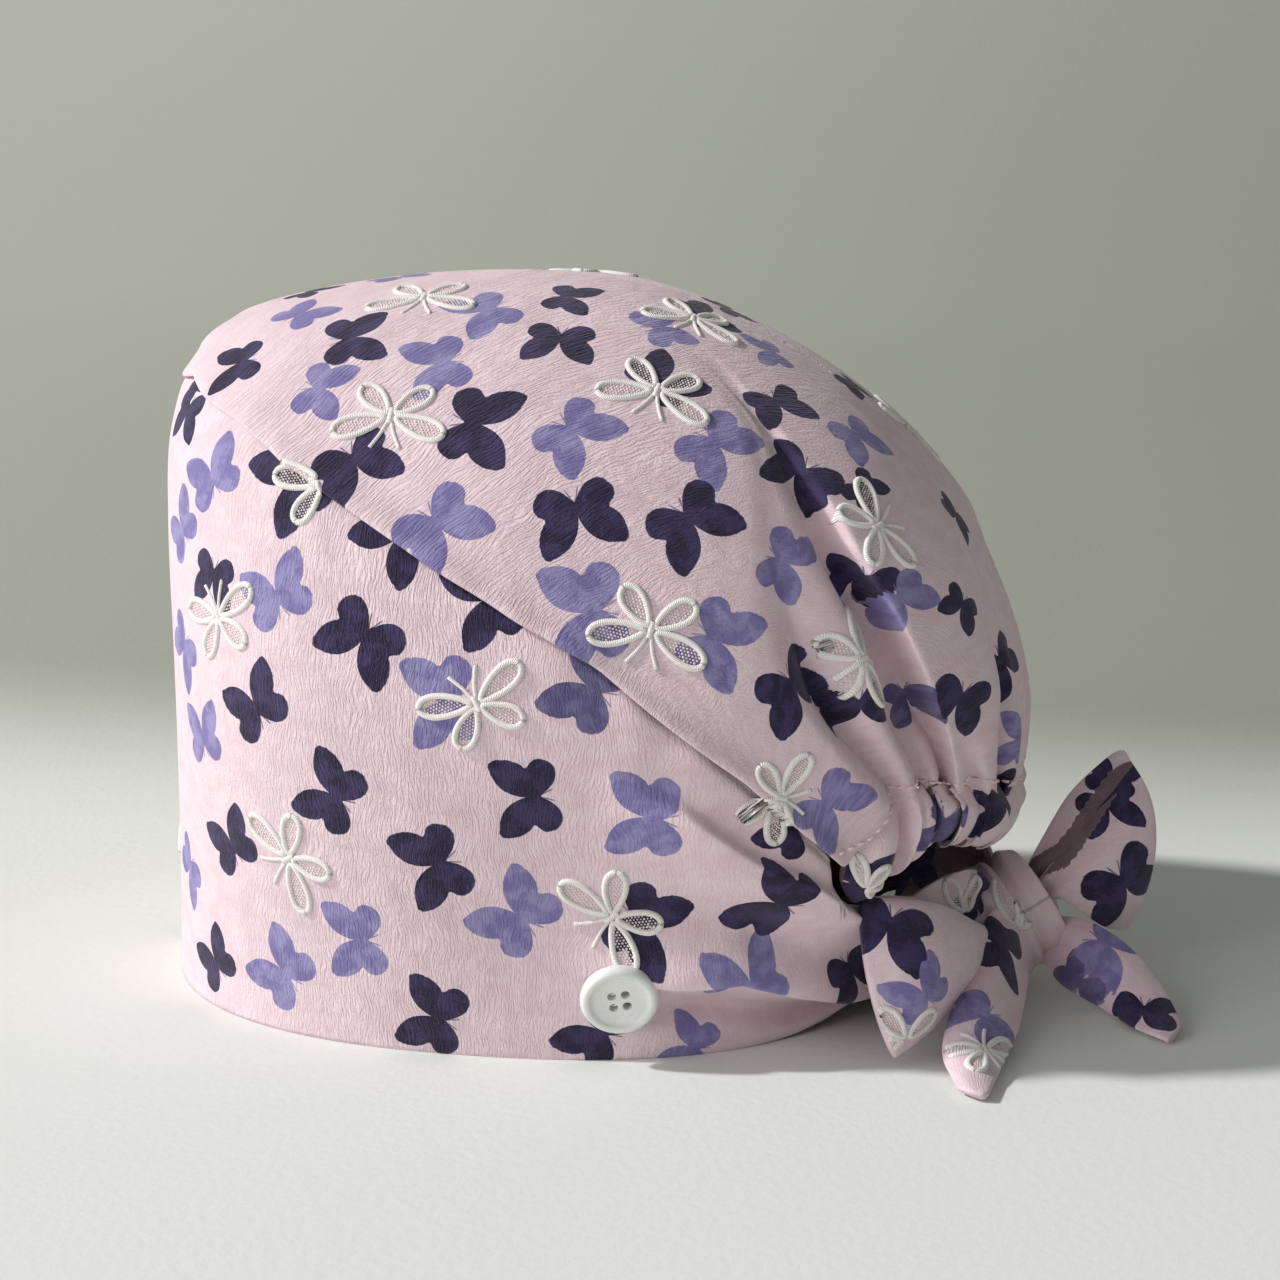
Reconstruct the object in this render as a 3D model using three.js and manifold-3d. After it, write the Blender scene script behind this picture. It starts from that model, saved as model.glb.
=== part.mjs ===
// A scrub cap with ties: a deep band, a gathered crown, an elastic casing at the back,
// and two ties knotted in a bow below the back opening. It rests on its hem.
// Millimetres, +Z up, forehead towards -Y, the wearer's left towards +X.

import * as THREE from 'three';
import Module from 'manifold-3d';

// Driving dimensions, in millimetres and degrees.
const CAP_CENTRE_Y = -42.5; // where the head's axis stands from the middle of the whole length
const BAND_WALL = 2.0;
const CROWN_WALL = 1.6;
const CASING_WALL = 3.2;
const CASING_PUFF = 1.6; // how far the middle of the casing swells out
const TIE_WALL = 2.4;
const SEAT_GAP = 0.3; // between two pieces that touch
const SEAM_GAP = 0.42; // the same, measured upright across the slanting seam
const CASING_GAP = 0.4; // how far below the crown's edge the casing's folded top starts
const FRONT_POWER = 2.35; // how square the head's outline is in front
const BACK_POWER = 2.3;
const BUTTON_RADIUS = 10.6;
const BUTTON_THICK = 4.2;
// From the middle of its back, round the rim, to the middle of its dished front.
const BUTTON_PROFILE = [
  { r: 0, z: 0 }, { r: 9.4, z: 0 }, { r: 10.3, z: 0.6 }, { r: BUTTON_RADIUS, z: 1.6 },
  { r: 10.45, z: 2.9 }, { r: 9.8, z: 3.9 }, { r: 9.65, z: BUTTON_THICK },
  { r: 8.7, z: 4.0 }, { r: 7.8, z: 3.3 }, { r: 6.0, z: 2.75 }, { r: 0, z: 2.6 },
];
const BUTTON_HOLE_RADIUS = 1.15;
const BUTTON_HOLE_PITCH = 2.55;
const BUTTON_SPAN = { phi: 6, row: 0.35 }; // half of the band's stretch behind the button
const BUTTON_AT = { phi: 115.5, z: 20.6, spin: 20 };
const KNOT = { x: 2, y: 141, z: 20, rx: 15, ry: 14, rz: 17 };
const CASING_END = 144.9; // half angle from the front at which the casing starts
const BAND_END = 158;

// The cap's outline, one row for each height: the front, side and back heights and radii.
const OUTLINE = [
  { zf: 0, rf: 104.5, zs: 0, rs: 85.5, zb: 0, rb: 104 },
  { zf: 30, rf: 103.5, zs: 30, rs: 88.5, zb: 28, rb: 122 },
  { zf: 65, rf: 103, zs: 62, rs: 92, zb: 54, rb: 139 },
  { zf: 100, rf: 102.5, zs: 94, rs: 94, zb: 80, rb: 143 },
  { zf: 135, rf: 102.5, zs: 124, rs: 91, zb: 108, rb: 136 },
  { zf: 162, rf: 101.5, zs: 150, rs: 83, zb: 138, rb: 122 },
  { zf: 181, rf: 94, zs: 171, rs: 69, zb: 164, rb: 100 },
  { zf: 192.5, rf: 74, zs: 189, rs: 47, zb: 185, rb: 70 },
  { zf: 199.5, rf: 40, zs: 199, rs: 24, zb: 199, rb: 36 },
  { zf: 203, rf: 0, zs: 203, rs: 0, zb: 203, rb: 0 },
];
const TOP = OUTLINE.length - 1;

// Edges that run round the cap, as a height at each angle from the front.
const BAND_TOP = [
  { phi: 0, z: 172 }, { phi: 24, z: 178.5 }, { phi: 45, z: 169 }, { phi: 67, z: 153.3 },
  { phi: 90, z: 134 }, { phi: 111, z: 114.3 }, { phi: 130, z: 83.5 }, { phi: 143, z: 57 },
  { phi: 144.4, z: 46 }, { phi: 147, z: 42 }, { phi: 152, z: 37 }, { phi: 158, z: 31 },
];
const CROWN_FOOT = [
  { phi: 143, z: 57 }, { phi: 145, z: 61 }, { phi: 149, z: 68.5 }, { phi: 153, z: 73 },
  { phi: 158, z: 72.5 }, { phi: 164, z: 68.5 }, { phi: 172, z: 63 }, { phi: 180, z: 61 },
];
const CASING_FOOT = [
  { phi: 144, z: 50 }, { phi: 147, z: 45 }, { phi: 150, z: 47 }, { phi: 153, z: 54 },
  { phi: 157, z: 58 }, { phi: 162, z: 54.5 }, { phi: 172, z: 48.5 }, { phi: 180, z: 47 },
];
const BAND_HEM = [
  { phi: 0, z: 0 }, { phi: 136, z: 0 }, { phi: 146, z: 1 }, { phi: 152, z: 3 }, { phi: 158, z: 6 },
];

// Gathers above the casing: each ridge runs from its foot to its head, on both sides of the back.
const GATHERS = [
  { foot: 140, head: 128, zFoot: 76, zHead: 138, half: 4.6, high: 4.5 },
  { foot: 149.5, head: 146, zFoot: 74, zHead: 118, half: 2.7, high: 6.0 },
  { foot: 157.5, head: 150, zFoot: 73, zHead: 172, half: 3.4, high: 8.5 },
  { foot: 165, head: 174, zFoot: 70, zHead: 146, half: 2.9, high: 7.0 },
  { foot: 173, head: 186, zFoot: 66, zHead: 132, half: 2.8, high: 6.0 },
];
const GATHER_SHAPE = { fade: 1.2, spread: 1.2 }; // how a ridge dies away and widens up to its head
// How far the cloth between the ridges is drawn in: where that starts, in degrees, and its heights.
const GATHER_SINK = { deep: 4.0, from: 140, full: 148, low: 74, high: 150 };

// The tuck low on the band, ahead of the ties: a lip that hangs over a drawn-in fold.
const TUCK = {
  from: 112, to: 160, zFrom: 29, zTo: 13, lip: 3.0, half: 9, sink: 4.0, sinkHalf: 6, sinkDrop: 11, rise: 0.3,
};

// Cloth strips of the ties, a row for each section: the near edge a, the middle m, the far edge b.
const LOOP_LEFT = [
  { ax: 60, ay: 104, az: 41, mx: 71, my: 106, mz: 23, bx: 72, by: 112, bz: 2.5 },
  { ax: 54, ay: 113, az: 40, mx: 66, my: 118, mz: 27, bx: 61, by: 121, bz: 8 },
  { ax: 44, ay: 123, az: 36, mx: 50, my: 127, mz: 25, bx: 44, by: 128, bz: 13 },
  { ax: 25, ay: 132, az: 25, mx: 26, my: 134, mz: 20, bx: 23, by: 135, bz: 15 },
  { ax: 6, ay: 138, az: 22, mx: 6, my: 138, mz: 19, bx: 6, by: 138, bz: 16 },
];
const LOOP_RIGHT = [
  { ax: -12, ay: 170, az: 67, mx: -3, my: 178, mz: 45, bx: -6, by: 173, bz: 16 },
  { ax: -8, ay: 166, az: 61, mx: 3, my: 170, mz: 42, bx: 3, by: 165, bz: 22 },
  { ax: -2, ay: 158, az: 51, mx: 7, my: 160, mz: 39, bx: 6, by: 157, bz: 27 },
  { ax: 3, ay: 150, az: 39, mx: 6, my: 152, mz: 35, bx: 6, by: 152, bz: 29.5 },
  { ax: 2, ay: 144, az: 30, mx: 2, my: 144, mz: 27, bx: 2, by: 144, bz: 24 },
];
const TAIL_LEFT = [
  { ax: 6, ay: 139, az: 26, mx: 6, my: 142, mz: 20, bx: 6, by: 144, bz: 14 },
  { ax: 22, ay: 135, az: 27, mx: 27, my: 140, mz: 22, bx: 21, by: 146, bz: 10 },
  { ax: 34, ay: 132, az: 22, mx: 42, my: 138, mz: 17, bx: 34, by: 146, bz: 8 },
  { ax: 50, ay: 128, az: 13, mx: 60, my: 136, mz: 11, bx: 52, by: 145, bz: 4.5 },
  { ax: 72, ay: 126, az: 5, mx: 80, my: 134, mz: 5, bx: 72, by: 142, bz: 2 },
  { ax: 90, ay: 131, az: 2, mx: 94, my: 136.5, mz: 2.2, bx: 93, by: 139.5, bz: 1.6 },
];
const TAIL_RIGHT = [
  { ax: 2, ay: 144, az: 20, mx: 2, my: 144, mz: 16, bx: 3, by: 143, bz: 12 },
  { ax: 7, ay: 158, az: 22, mx: 12, my: 155, mz: 16, bx: 10, by: 151, bz: 8 },
  { ax: 13, ay: 167, az: 21, mx: 20, my: 162, mz: 14, bx: 14, by: 156, bz: 4 },
  { ax: 18, ay: 176, az: 16, mx: 26, my: 171, mz: 10, bx: 22, by: 166, bz: 1.6 },
  { ax: 24, ay: 184, az: 8, mx: 31, my: 181, mz: 5, bx: 36, by: 175, bz: 1.6 },
  { ax: 35, ay: 189, az: 2, mx: 41, my: 188, mz: 2, bx: 46, by: 185.5, bz: 1.6 },
];
const TIE = [
  { ax: 42.5, ay: 107.5, az: 31, mx: 41, my: 105.5, mz: 19, bx: 40, by: 103, bz: 8 },
  { ax: 35, ay: 116, az: 37, mx: 34, my: 115, mz: 25, bx: 33, by: 113, bz: 13 },
  { ax: 26, ay: 124, az: 39.5, mx: 26, my: 124, mz: 27, bx: 25, by: 122, bz: 14 },
  { ax: 15, ay: 131, az: 37, mx: 16, my: 132, mz: 27, bx: 15, by: 131, bz: 17 },
  { ax: 5, ay: 137, az: 26, mx: 5, my: 137, mz: 23, bx: 5, by: 137, bz: 20 },
];
const LOOP_OPEN = { left: 2.5, right: 11 }; // half the space between a loop's two layers
const LOOP_SHAPE = { swell: 1.4, taper: 0.6, shift: 0.8 }; // how a loop opens from the knot outwards
const ROOM_EDGE = 0.07; // share of a strip's width that its room reaches past each edge
const ROOM_WALL = 3.6; // thickness of the room that a strip needs
const FLOOR_GAP = { upper: 0.3, lower: 0.1 }; // least height of a strip's two faces
const KNOT_WRAP = { tilt: 38, half: 0.42, high: 1.6 }; // the band that crosses the knot

// Meshing: how many steps each sheet takes.
const WIDE_STEP = 7.5; // degrees
const FINE_FROM = { low: 95, high: 135 }; // angles over which the steps change from wide to fine
const BAND_FINE_STEP = 3.4;
const BAND_ROWS = [0, 0.05, 0.1, 0.16, 0.24, 0.36, 0.56, 0.78, 1];
const CROWN_FINE_STEP = 2.1;
const CROWN_ROWS = 11;
const CASING_STEPS = 36;
const CASING_ROWS = 4;
const STRIP_ACROSS = 4;
const STRIP_ALONG = 12;
const LOOP_ALONG = 20;
const KNOT_STEPS = 24;
const BUTTON_STEPS = 28;
const HOLE_STEPS = 10;
// How far on each side a slope is taken: degrees and rows on the cap, shares of a strip.
const SLOPE_STEP = { phi: 0.2, row: 0.01, along: 0.01, across: 0.02 };
const WELD = 1e4; // corners closer than one part in this many of a mm are the same

const wasm = await Module();
wasm.setup();
const degrees = THREE.MathUtils.degToRad;

// Smooth curve through the rows of a table, read at a row number that may lie between rows.
function between(rows, at) {
  const last = rows.length - 1;
  const i = Math.min(Math.max(Math.floor(at), 0), last - 1);
  const u = Math.min(Math.max(at - i, 0), 1);
  const result = {};
  for (const key of Object.keys(rows[0])) {
    const p1 = rows[i][key];
    const p2 = rows[i + 1][key];
    const m1 = i > 0 ? (p2 - rows[i - 1][key]) / 2 : p2 - p1;
    const m2 = i < last - 1 ? (rows[i + 2][key] - p1) / 2 : p2 - p1;
    result[key] = (2 * u ** 3 - 3 * u ** 2 + 1) * p1 + (u ** 3 - 2 * u ** 2 + u) * m1
      + (3 * u ** 2 - 2 * u ** 3) * p2 + (u ** 3 - u ** 2) * m2;
  }
  return result;
}

// Height of an edge that runs round the cap, on straight stretches between its rows.
function edgeHeight(rows, phi) {
  const angle = Math.abs(phi);
  const next = rows.findIndex((row) => row.phi >= angle);
  if (next === 0) return rows[0].z;
  if (next < 0) return rows[rows.length - 1].z;
  const [low, high] = [rows[next - 1], rows[next]];
  const share = (angle - low.phi) / (high.phi - low.phi);
  return THREE.MathUtils.lerp(low.z, high.z, share);
}

// The plain cap surface at an angle from the front and an outline row number.
function capPoint(phi, t) {
  const row = between(OUTLINE, t);
  const c = Math.cos(degrees(phi));
  const s = Math.sin(degrees(phi));
  const front = c >= 0;
  const along = Math.max(front ? row.rf : row.rb, 1e-6);
  const across = Math.max(row.rs, 1e-6);
  const power = front ? FRONT_POWER : BACK_POWER;
  const sum = Math.abs(c / along) ** power + Math.abs(s / across) ** power;
  const r = sum ** (-1 / power);
  const z = THREE.MathUtils.lerp(row.zs, front ? row.zf : row.zb, c * c);
  return new THREE.Vector3(r * s, -r * c, z);
}

// The outline row number at which the surface reaches a height.
function rowAtHeight(phi, z) {
  let low = 0;
  let high = TOP;
  for (let k = 0; k < 40; k += 1) {
    const middle = (low + high) / 2;
    if (capPoint(phi, middle).z < z) low = middle;
    else high = middle;
  }
  return (low + high) / 2;
}

// Gathers: how far the crown and the casing stand out or are drawn in at a place.
function gatherLift(phi, z) {
  const angle = Math.abs(phi);
  let lift = 0;
  for (const ridge of GATHERS) {
    const up = THREE.MathUtils.clamp((z - ridge.zFoot) / (ridge.zHead - ridge.zFoot), 0, 1);
    const fade = Math.cos((Math.PI / 2) * up) ** GATHER_SHAPE.fade;
    const centre = THREE.MathUtils.lerp(ridge.foot, ridge.head, up);
    const half = ridge.half * (1 + GATHER_SHAPE.spread * up);
    for (const middle of [centre, 360 - centre]) {
      lift += ridge.high * fade * Math.exp(-(((angle - middle) / half) ** 2));
    }
  }
  const drawn = THREE.MathUtils.smoothstep(angle, GATHER_SINK.from, GATHER_SINK.full);
  const fall = 1 - THREE.MathUtils.smoothstep(z, GATHER_SINK.low, GATHER_SINK.high);
  return lift - GATHER_SINK.deep * drawn * fall;
}

// The tuck on the band near each tie.
function tuckLift(phi, z) {
  const angle = Math.abs(phi);
  const along = THREE.MathUtils.clamp((angle - TUCK.from) / (TUCK.to - TUCK.from), 0, 1);
  const strength = THREE.MathUtils.smoothstep(along, 0, TUCK.rise);
  const crest = THREE.MathUtils.lerp(TUCK.zFrom, TUCK.zTo, along);
  const lip = Math.exp(-(((z - crest) / TUCK.half) ** 2));
  const under = Math.exp(-(((z - crest + TUCK.sinkDrop) / TUCK.sinkHalf) ** 2));
  return strength * (TUCK.lip * lip - TUCK.sink * under);
}

// A place on the crown, band or casing: the plain surface moved out by its folds.
function shaped(lift) {
  return (phi, t) => {
    const point = capPoint(phi, t);
    const out = new THREE.Vector2(point.x, point.y);
    const length = Math.max(out.length(), 1e-3);
    const scale = 1 + lift(phi, point.z) / length;
    return new THREE.Vector3(point.x * scale, point.y * scale, point.z);
  };
}

// A closed body between an outer and an inner grid of points; wrap joins the last column to the first.
function bodyBetween(outer, inner, wrap) {
  const index = new Map();
  const positions = [];
  const faces = [];
  const vertex = (p) => {
    const key = [p.x, p.y, p.z].map((value) => Math.round(value * WELD)).join(' ');
    if (!index.has(key)) {
      index.set(key, positions.length / 3);
      positions.push(p.x, p.y, p.z);
    }
    return index.get(key);
  };
  const face = (...corners) => {
    if (new Set(corners).size === 3) faces.push(...corners);
  };
  const quad = (p, q, r, s) => {
    const [a, b, c, d] = [p, q, r, s].map(vertex);
    face(a, b, c);
    face(a, c, d);
  };
  const columns = outer.length;
  const rows = outer[0].length;
  for (let i = 0; i < (wrap ? columns : columns - 1); i += 1) {
    const n = (i + 1) % columns;
    for (let j = 0; j < rows - 1; j += 1) {
      quad(outer[i][j], outer[n][j], outer[n][j + 1], outer[i][j + 1]);
      quad(inner[i][j], inner[i][j + 1], inner[n][j + 1], inner[n][j]);
    }
    quad(outer[i][0], inner[i][0], inner[n][0], outer[n][0]);
    quad(outer[i][rows - 1], outer[n][rows - 1], inner[n][rows - 1], inner[i][rows - 1]);
  }
  if (!wrap) {
    const e = columns - 1;
    for (let j = 0; j < rows - 1; j += 1) {
      quad(outer[0][j], outer[0][j + 1], inner[0][j + 1], inner[0][j]);
      quad(outer[e][j], inner[e][j], inner[e][j + 1], outer[e][j + 1]);
    }
  }
  return facingOut(positions, faces);
}

// Six times the signed volume of a mesh, to tell which way its faces point.
function signedVolume(positions, faces) {
  const at = (k) => new THREE.Vector3().fromArray(positions, 3 * k);
  let sum = 0;
  for (let k = 0; k < faces.length; k += 3) {
    sum += at(faces[k]).dot(at(faces[k + 1]).cross(at(faces[k + 2])));
  }
  return sum;
}

function facingOut(positions, faces) {
  const geometry = new THREE.BufferGeometry();
  geometry.setAttribute('position', new THREE.Float32BufferAttribute(positions, 3));
  const turned = signedVolume(positions, faces) < 0 ? [...faces].reverse() : faces;
  geometry.setIndex(turned);
  return geometry;
}

// A direction square to a surface, from two short steps along it.
function normalOf(surface, u, v, du, dv) {
  const along = surface(u + du, v).sub(surface(u - du, v));
  const up = surface(u, v + dv).sub(surface(u, v - dv));
  return along.cross(up).normalize();
}

// A wall of the cap between two edges, from one angle to another.
function capWall({ surface, lowEdge, highEdge, angles, shares, wall, wrap }) {
  const outer = [];
  const inner = [];
  for (const phi of angles) {
    const low = lowEdge(phi);
    const high = highEdge(phi);
    const column = shares.map((share) => THREE.MathUtils.lerp(low, high, share));
    outer.push(column.map((t) => surface(phi, t)));
    inner.push(column.map((t, j) => {
      const at = Math.min(t, TOP - 2 * SLOPE_STEP.row);
      const square = normalOf(surface, phi, at, SLOPE_STEP.phi, SLOPE_STEP.row);
      const point = surface(phi, t).addScaledVector(square, -wall);
      if (t >= TOP) point.set(0, 0, surface(phi, t).z - wall);
      if (j === 0) point.z = surface(phi, t).z;
      return point;
    }));
  }
  return bodyBetween(outer, inner, wrap);
}

const evenly = (count) => Array.from({ length: count + 1 }, (unused, k) => k / count);

// Angles from -end to end: wide steps over the front, fine ones towards the back where the folds are.
function anglesTo(end, fine) {
  const side = [0];
  while (side[side.length - 1] < end) {
    const at = side[side.length - 1];
    const share = THREE.MathUtils.smoothstep(at, FINE_FROM.low, FINE_FROM.high);
    side.push(at + THREE.MathUtils.lerp(WIDE_STEP, fine, share));
  }
  const fit = end / side[side.length - 1];
  const half = side.map((angle) => angle * fit);
  return [...half.slice(1).reverse().map((angle) => -angle), ...half];
}

function makeBand() {
  return capWall({
    surface: shaped(tuckLift),
    lowEdge: (phi) => rowAtHeight(phi, edgeHeight(BAND_HEM, phi)) * (edgeHeight(BAND_HEM, phi) > 0),
    highEdge: (phi) => rowAtHeight(phi, edgeHeight(BAND_TOP, phi)),
    angles: anglesTo(BAND_END, BAND_FINE_STEP),
    shares: BAND_ROWS,
    wall: BAND_WALL,
    wrap: false,
  });
}

// The crown's lower edge follows the seam at the sides and the casing at the back.
function crownFootHeight(phi) {
  const seam = Math.abs(phi) < CROWN_FOOT[0].phi;
  return edgeHeight(seam ? BAND_TOP : CROWN_FOOT, phi) + SEAM_GAP;
}

function makeCrown() {
  return capWall({
    surface: shaped(gatherLift),
    lowEdge: (phi) => rowAtHeight(phi, crownFootHeight(phi)),
    highEdge: () => TOP,
    angles: anglesTo(180, CROWN_FINE_STEP).slice(1),
    shares: evenly(CROWN_ROWS),
    wall: CROWN_WALL,
    wrap: true,
  });
}

function makeCasing() {
  const span = 180 - CASING_END;
  const puff = (phi, z) => {
    const foot = edgeHeight(CASING_FOOT, phi);
    const head = edgeHeight(CROWN_FOOT, phi);
    const up = THREE.MathUtils.clamp((z - foot) / (head - foot), 0, 1);
    return gatherLift(phi, z) + CASING_PUFF * Math.sin(Math.PI * up);
  };
  const folded = (phi) => (phi > 180 ? phi - 360 : phi);
  const surface = shaped(puff);
  return capWall({
    surface: (phi, t) => surface(folded(phi), t),
    lowEdge: (phi) => rowAtHeight(folded(phi), edgeHeight(CASING_FOOT, folded(phi))),
    highEdge: (phi) => rowAtHeight(folded(phi), edgeHeight(CROWN_FOOT, folded(phi)) - CASING_GAP),
    angles: evenly(CASING_STEPS).map((share) => CASING_END + 2 * span * share),
    shares: evenly(CASING_ROWS),
    wall: CASING_WALL,
    wrap: false,
  });
}

// A place on a cloth strip: along its rows, and across it from edge a to edge b.
function stripPoint(rows, along, across) {
  const row = between(rows, along * (rows.length - 1));
  const a = new THREE.Vector3(row.ax, row.ay, row.az);
  const m = new THREE.Vector3(row.mx, row.my, row.mz);
  const b = new THREE.Vector3(row.bx, row.by, row.bz);
  const wa = (1 - across) * (1 - 2 * across);
  const wm = 4 * across * (1 - across);
  const wb = across * (2 * across - 1);
  return a.multiplyScalar(wa).addScaledVector(m, wm).addScaledVector(b, wb);
}

// A strip's two faces, as grids of points. Neither goes below the surface that the cap rests on.
function stripFaces(surface, alongSteps, wall) {
  return [1, -1].map((side) => evenly(alongSteps).map((u) => (
    evenly(STRIP_ACROSS).map((v) => {
      const nearU = THREE.MathUtils.clamp(u, SLOPE_STEP.along, 1 - SLOPE_STEP.along);
      const nearV = THREE.MathUtils.clamp(v, SLOPE_STEP.across, 1 - SLOPE_STEP.across);
      const square = normalOf(surface, nearU, nearV, SLOPE_STEP.along, SLOPE_STEP.across);
      const point = surface(u, v).addScaledVector(square, (side * wall) / 2);
      point.z = Math.max(point.z, side > 0 ? FLOOR_GAP.upper : FLOOR_GAP.lower);
      return point;
    })
  )));
}

function stripBody(surface, alongSteps, wall) {
  const [upper, lower] = stripFaces(surface, alongSteps, wall);
  return bodyBetween(upper, lower, false);
}

// A bow's loop: one strip that leaves the knot, turns at its outer end and comes back.
function loopSurface(rows, open, away) {
  return (u, v) => {
    const side = 2 * u - 1;
    const reach = Math.abs(side);
    const swell = LOOP_SHAPE.swell * Math.sqrt(reach) * (1 - reach) ** LOOP_SHAPE.taper;
    const half = open * swell + (TIE_WALL / 2 + SEAT_GAP) * reach;
    const middle = stripPoint(rows, reach, v);
    return middle.addScaledVector(away, half * Math.sign(side) + open * LOOP_SHAPE.shift * (1 - reach));
  };
}

// A loop's body: its two layers, made one where they meet at the outer end.
function loopBody(rows, open, away) {
  const [upper, lower] = stripFaces(loopSurface(rows, open, away), LOOP_ALONG, TIE_WALL);
  const turn = LOOP_ALONG / 2;
  const [there, back] = [[0, turn + 1], [turn, LOOP_ALONG + 1]].map(([from, to]) => (
    toSolid(bodyBetween(upper.slice(from, to), lower.slice(from, to), false))
  ));
  return toGeometry(there.add(back));
}

function toSolid(geometry) {
  return new wasm.Manifold(new wasm.Mesh({
    numProp: 3,
    vertProperties: geometry.attributes.position.array,
    triVerts: Uint32Array.from(geometry.index.array),
  }));
}

function toGeometry(solid) {
  const mesh = solid.getMesh();
  const geometry = new THREE.BufferGeometry();
  geometry.setAttribute('position', new THREE.BufferAttribute(mesh.vertProperties, 3));
  geometry.setIndex(new THREE.BufferAttribute(mesh.triVerts, 1));
  return geometry;
}

// Cuts a piece back from its neighbours and keeps its largest part.
function clearOf(geometry, ...neighbours) {
  const cut = neighbours.reduce((piece, other) => piece.subtract(toSolid(other)), toSolid(geometry));
  const parts = cut.decompose();
  parts.sort((p, q) => q.volume() - p.volume());
  return toGeometry(parts[0]);
}

// The knot: a rounded lump with the wrap of cloth that crosses it standing proud.
function makeKnot(grow = 0) {
  const tilt = degrees(KNOT_WRAP.tilt);
  const point = (share, rise) => {
    const turn = share * 2 * Math.PI;
    const lift = (rise - 0.5) * Math.PI;
    const unit = new THREE.Vector3(
      Math.cos(lift) * Math.cos(turn),
      Math.cos(lift) * Math.sin(turn),
      Math.sin(lift),
    );
    const across = unit.y * Math.cos(tilt) + unit.z * Math.sin(tilt);
    const wrap = KNOT_WRAP.high * Math.exp(-((across / KNOT_WRAP.half) ** 2));
    return new THREE.Vector3(
      KNOT.x + unit.x * (KNOT.rx + wrap + grow),
      KNOT.y + unit.y * (KNOT.ry + wrap + grow),
      KNOT.z + unit.z * (KNOT.rz + wrap + grow),
    );
  };
  const rows = KNOT_STEPS / 2;
  const positions = [];
  const faces = [];
  for (let j = 1; j < rows; j += 1) {
    for (let i = 0; i < KNOT_STEPS; i += 1) positions.push(...point(i / KNOT_STEPS, j / rows));
  }
  const south = positions.length / 3;
  positions.push(...point(0, 0), ...point(0, 1));
  for (let i = 0; i < KNOT_STEPS; i += 1) {
    const n = (i + 1) % KNOT_STEPS;
    const roof = (rows - 2) * KNOT_STEPS;
    faces.push(south, n, i, south + 1, roof + i, roof + n);
    for (let j = 0; j < rows - 2; j += 1) {
      const low = j * KNOT_STEPS;
      const high = low + KNOT_STEPS;
      faces.push(low + i, low + n, high + n, low + i, high + n, high + i);
    }
  }
  return facingOut(positions, faces);
}

// A sew-through button with a raised rim, a dished middle and four holes; its back lies at z = 0.
function makeButton() {
  const profile = BUTTON_PROFILE.map(({ r, z }) => new THREE.Vector2(r, z));
  const lathe = new THREE.LatheGeometry(profile, BUTTON_STEPS);
  lathe.rotateX(Math.PI / 2);
  const welded = weld(lathe);
  const holes = [0, 1, 2, 3].map((k) => {
    const radius = BUTTON_HOLE_RADIUS;
    const drill = new THREE.CylinderGeometry(radius, radius, 3 * BUTTON_THICK, HOLE_STEPS);
    drill.rotateX(Math.PI / 2);
    const angle = (k + 0.5) * (Math.PI / 2);
    drill.translate(BUTTON_HOLE_PITCH * Math.cos(angle), BUTTON_HOLE_PITCH * Math.sin(angle), 0);
    return weld(drill);
  });
  return clearOf(welded, ...holes);
}

// Only positions, with shared corners merged and empty faces dropped.
function weld(geometry) {
  const source = geometry.attributes.position;
  const order = geometry.index.array;
  const index = new Map();
  const positions = [];
  const ids = [];
  for (let k = 0; k < source.count; k += 1) {
    const p = new THREE.Vector3().fromBufferAttribute(source, k);
    const key = [p.x, p.y, p.z].map((value) => Math.round(value * WELD)).join(' ');
    if (!index.has(key)) {
      index.set(key, positions.length / 3);
      positions.push(p.x, p.y, p.z);
    }
    ids.push(index.get(key));
  }
  const faces = [];
  for (let k = 0; k < order.length; k += 3) {
    const corners = [ids[order[k]], ids[order[k + 1]], ids[order[k + 2]]];
    if (new Set(corners).size === 3) faces.push(...corners);
  }
  return facingOut(positions, faces);
}

// Where a button lies: the frame on the band that its back sits against.
function buttonFrame(side) {
  const band = shaped(tuckLift);
  const phi = side * BUTTON_AT.phi;
  const t = rowAtHeight(phi, BUTTON_AT.z);
  const centre = band(phi, t);
  const out = normalOf(band, phi, t, SLOPE_STEP.phi, SLOPE_STEP.row);
  let proud = 0;
  for (const across of evenly(6)) {
    for (const up of evenly(4)) {
      const beside = BUTTON_SPAN.phi * (2 * across - 1);
      const above = BUTTON_SPAN.row * (2 * up - 1);
      const near = band(phi + beside, t + above).sub(centre);
      if (near.length() < BUTTON_RADIUS) proud = Math.max(proud, near.dot(out));
    }
  }
  centre.addScaledVector(out, proud + SEAT_GAP);
  const axis = new THREE.Vector3(0, 0, 1);
  const turn = new THREE.Quaternion().setFromUnitVectors(axis, out);
  const spin = new THREE.Quaternion().setFromAxisAngle(axis, degrees(side * BUTTON_AT.spin));
  return { centre, turn: turn.multiply(spin) };
}

const mirrored = (rows) => rows.map((row) => ({ ...row, ax: -row.ax, mx: -row.mx, bx: -row.bx }));

// Finishes.
const cloth = (color) => new THREE.MeshStandardMaterial({ color, roughness: 0.92, metalness: 0 });
const bandCloth = cloth(0xdfc6cc);
const crownCloth = cloth(0xd6bac1);
const casingCloth = cloth(0xc9a9b2);
const tieCloth = cloth(0xd2b3bb);
const buttonShine = new THREE.MeshStandardMaterial({ color: 0xe4e6e0, roughness: 0.22, metalness: 0 });

const group = new THREE.Group();
group.position.set(0, CAP_CENTRE_Y, 0);

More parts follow.
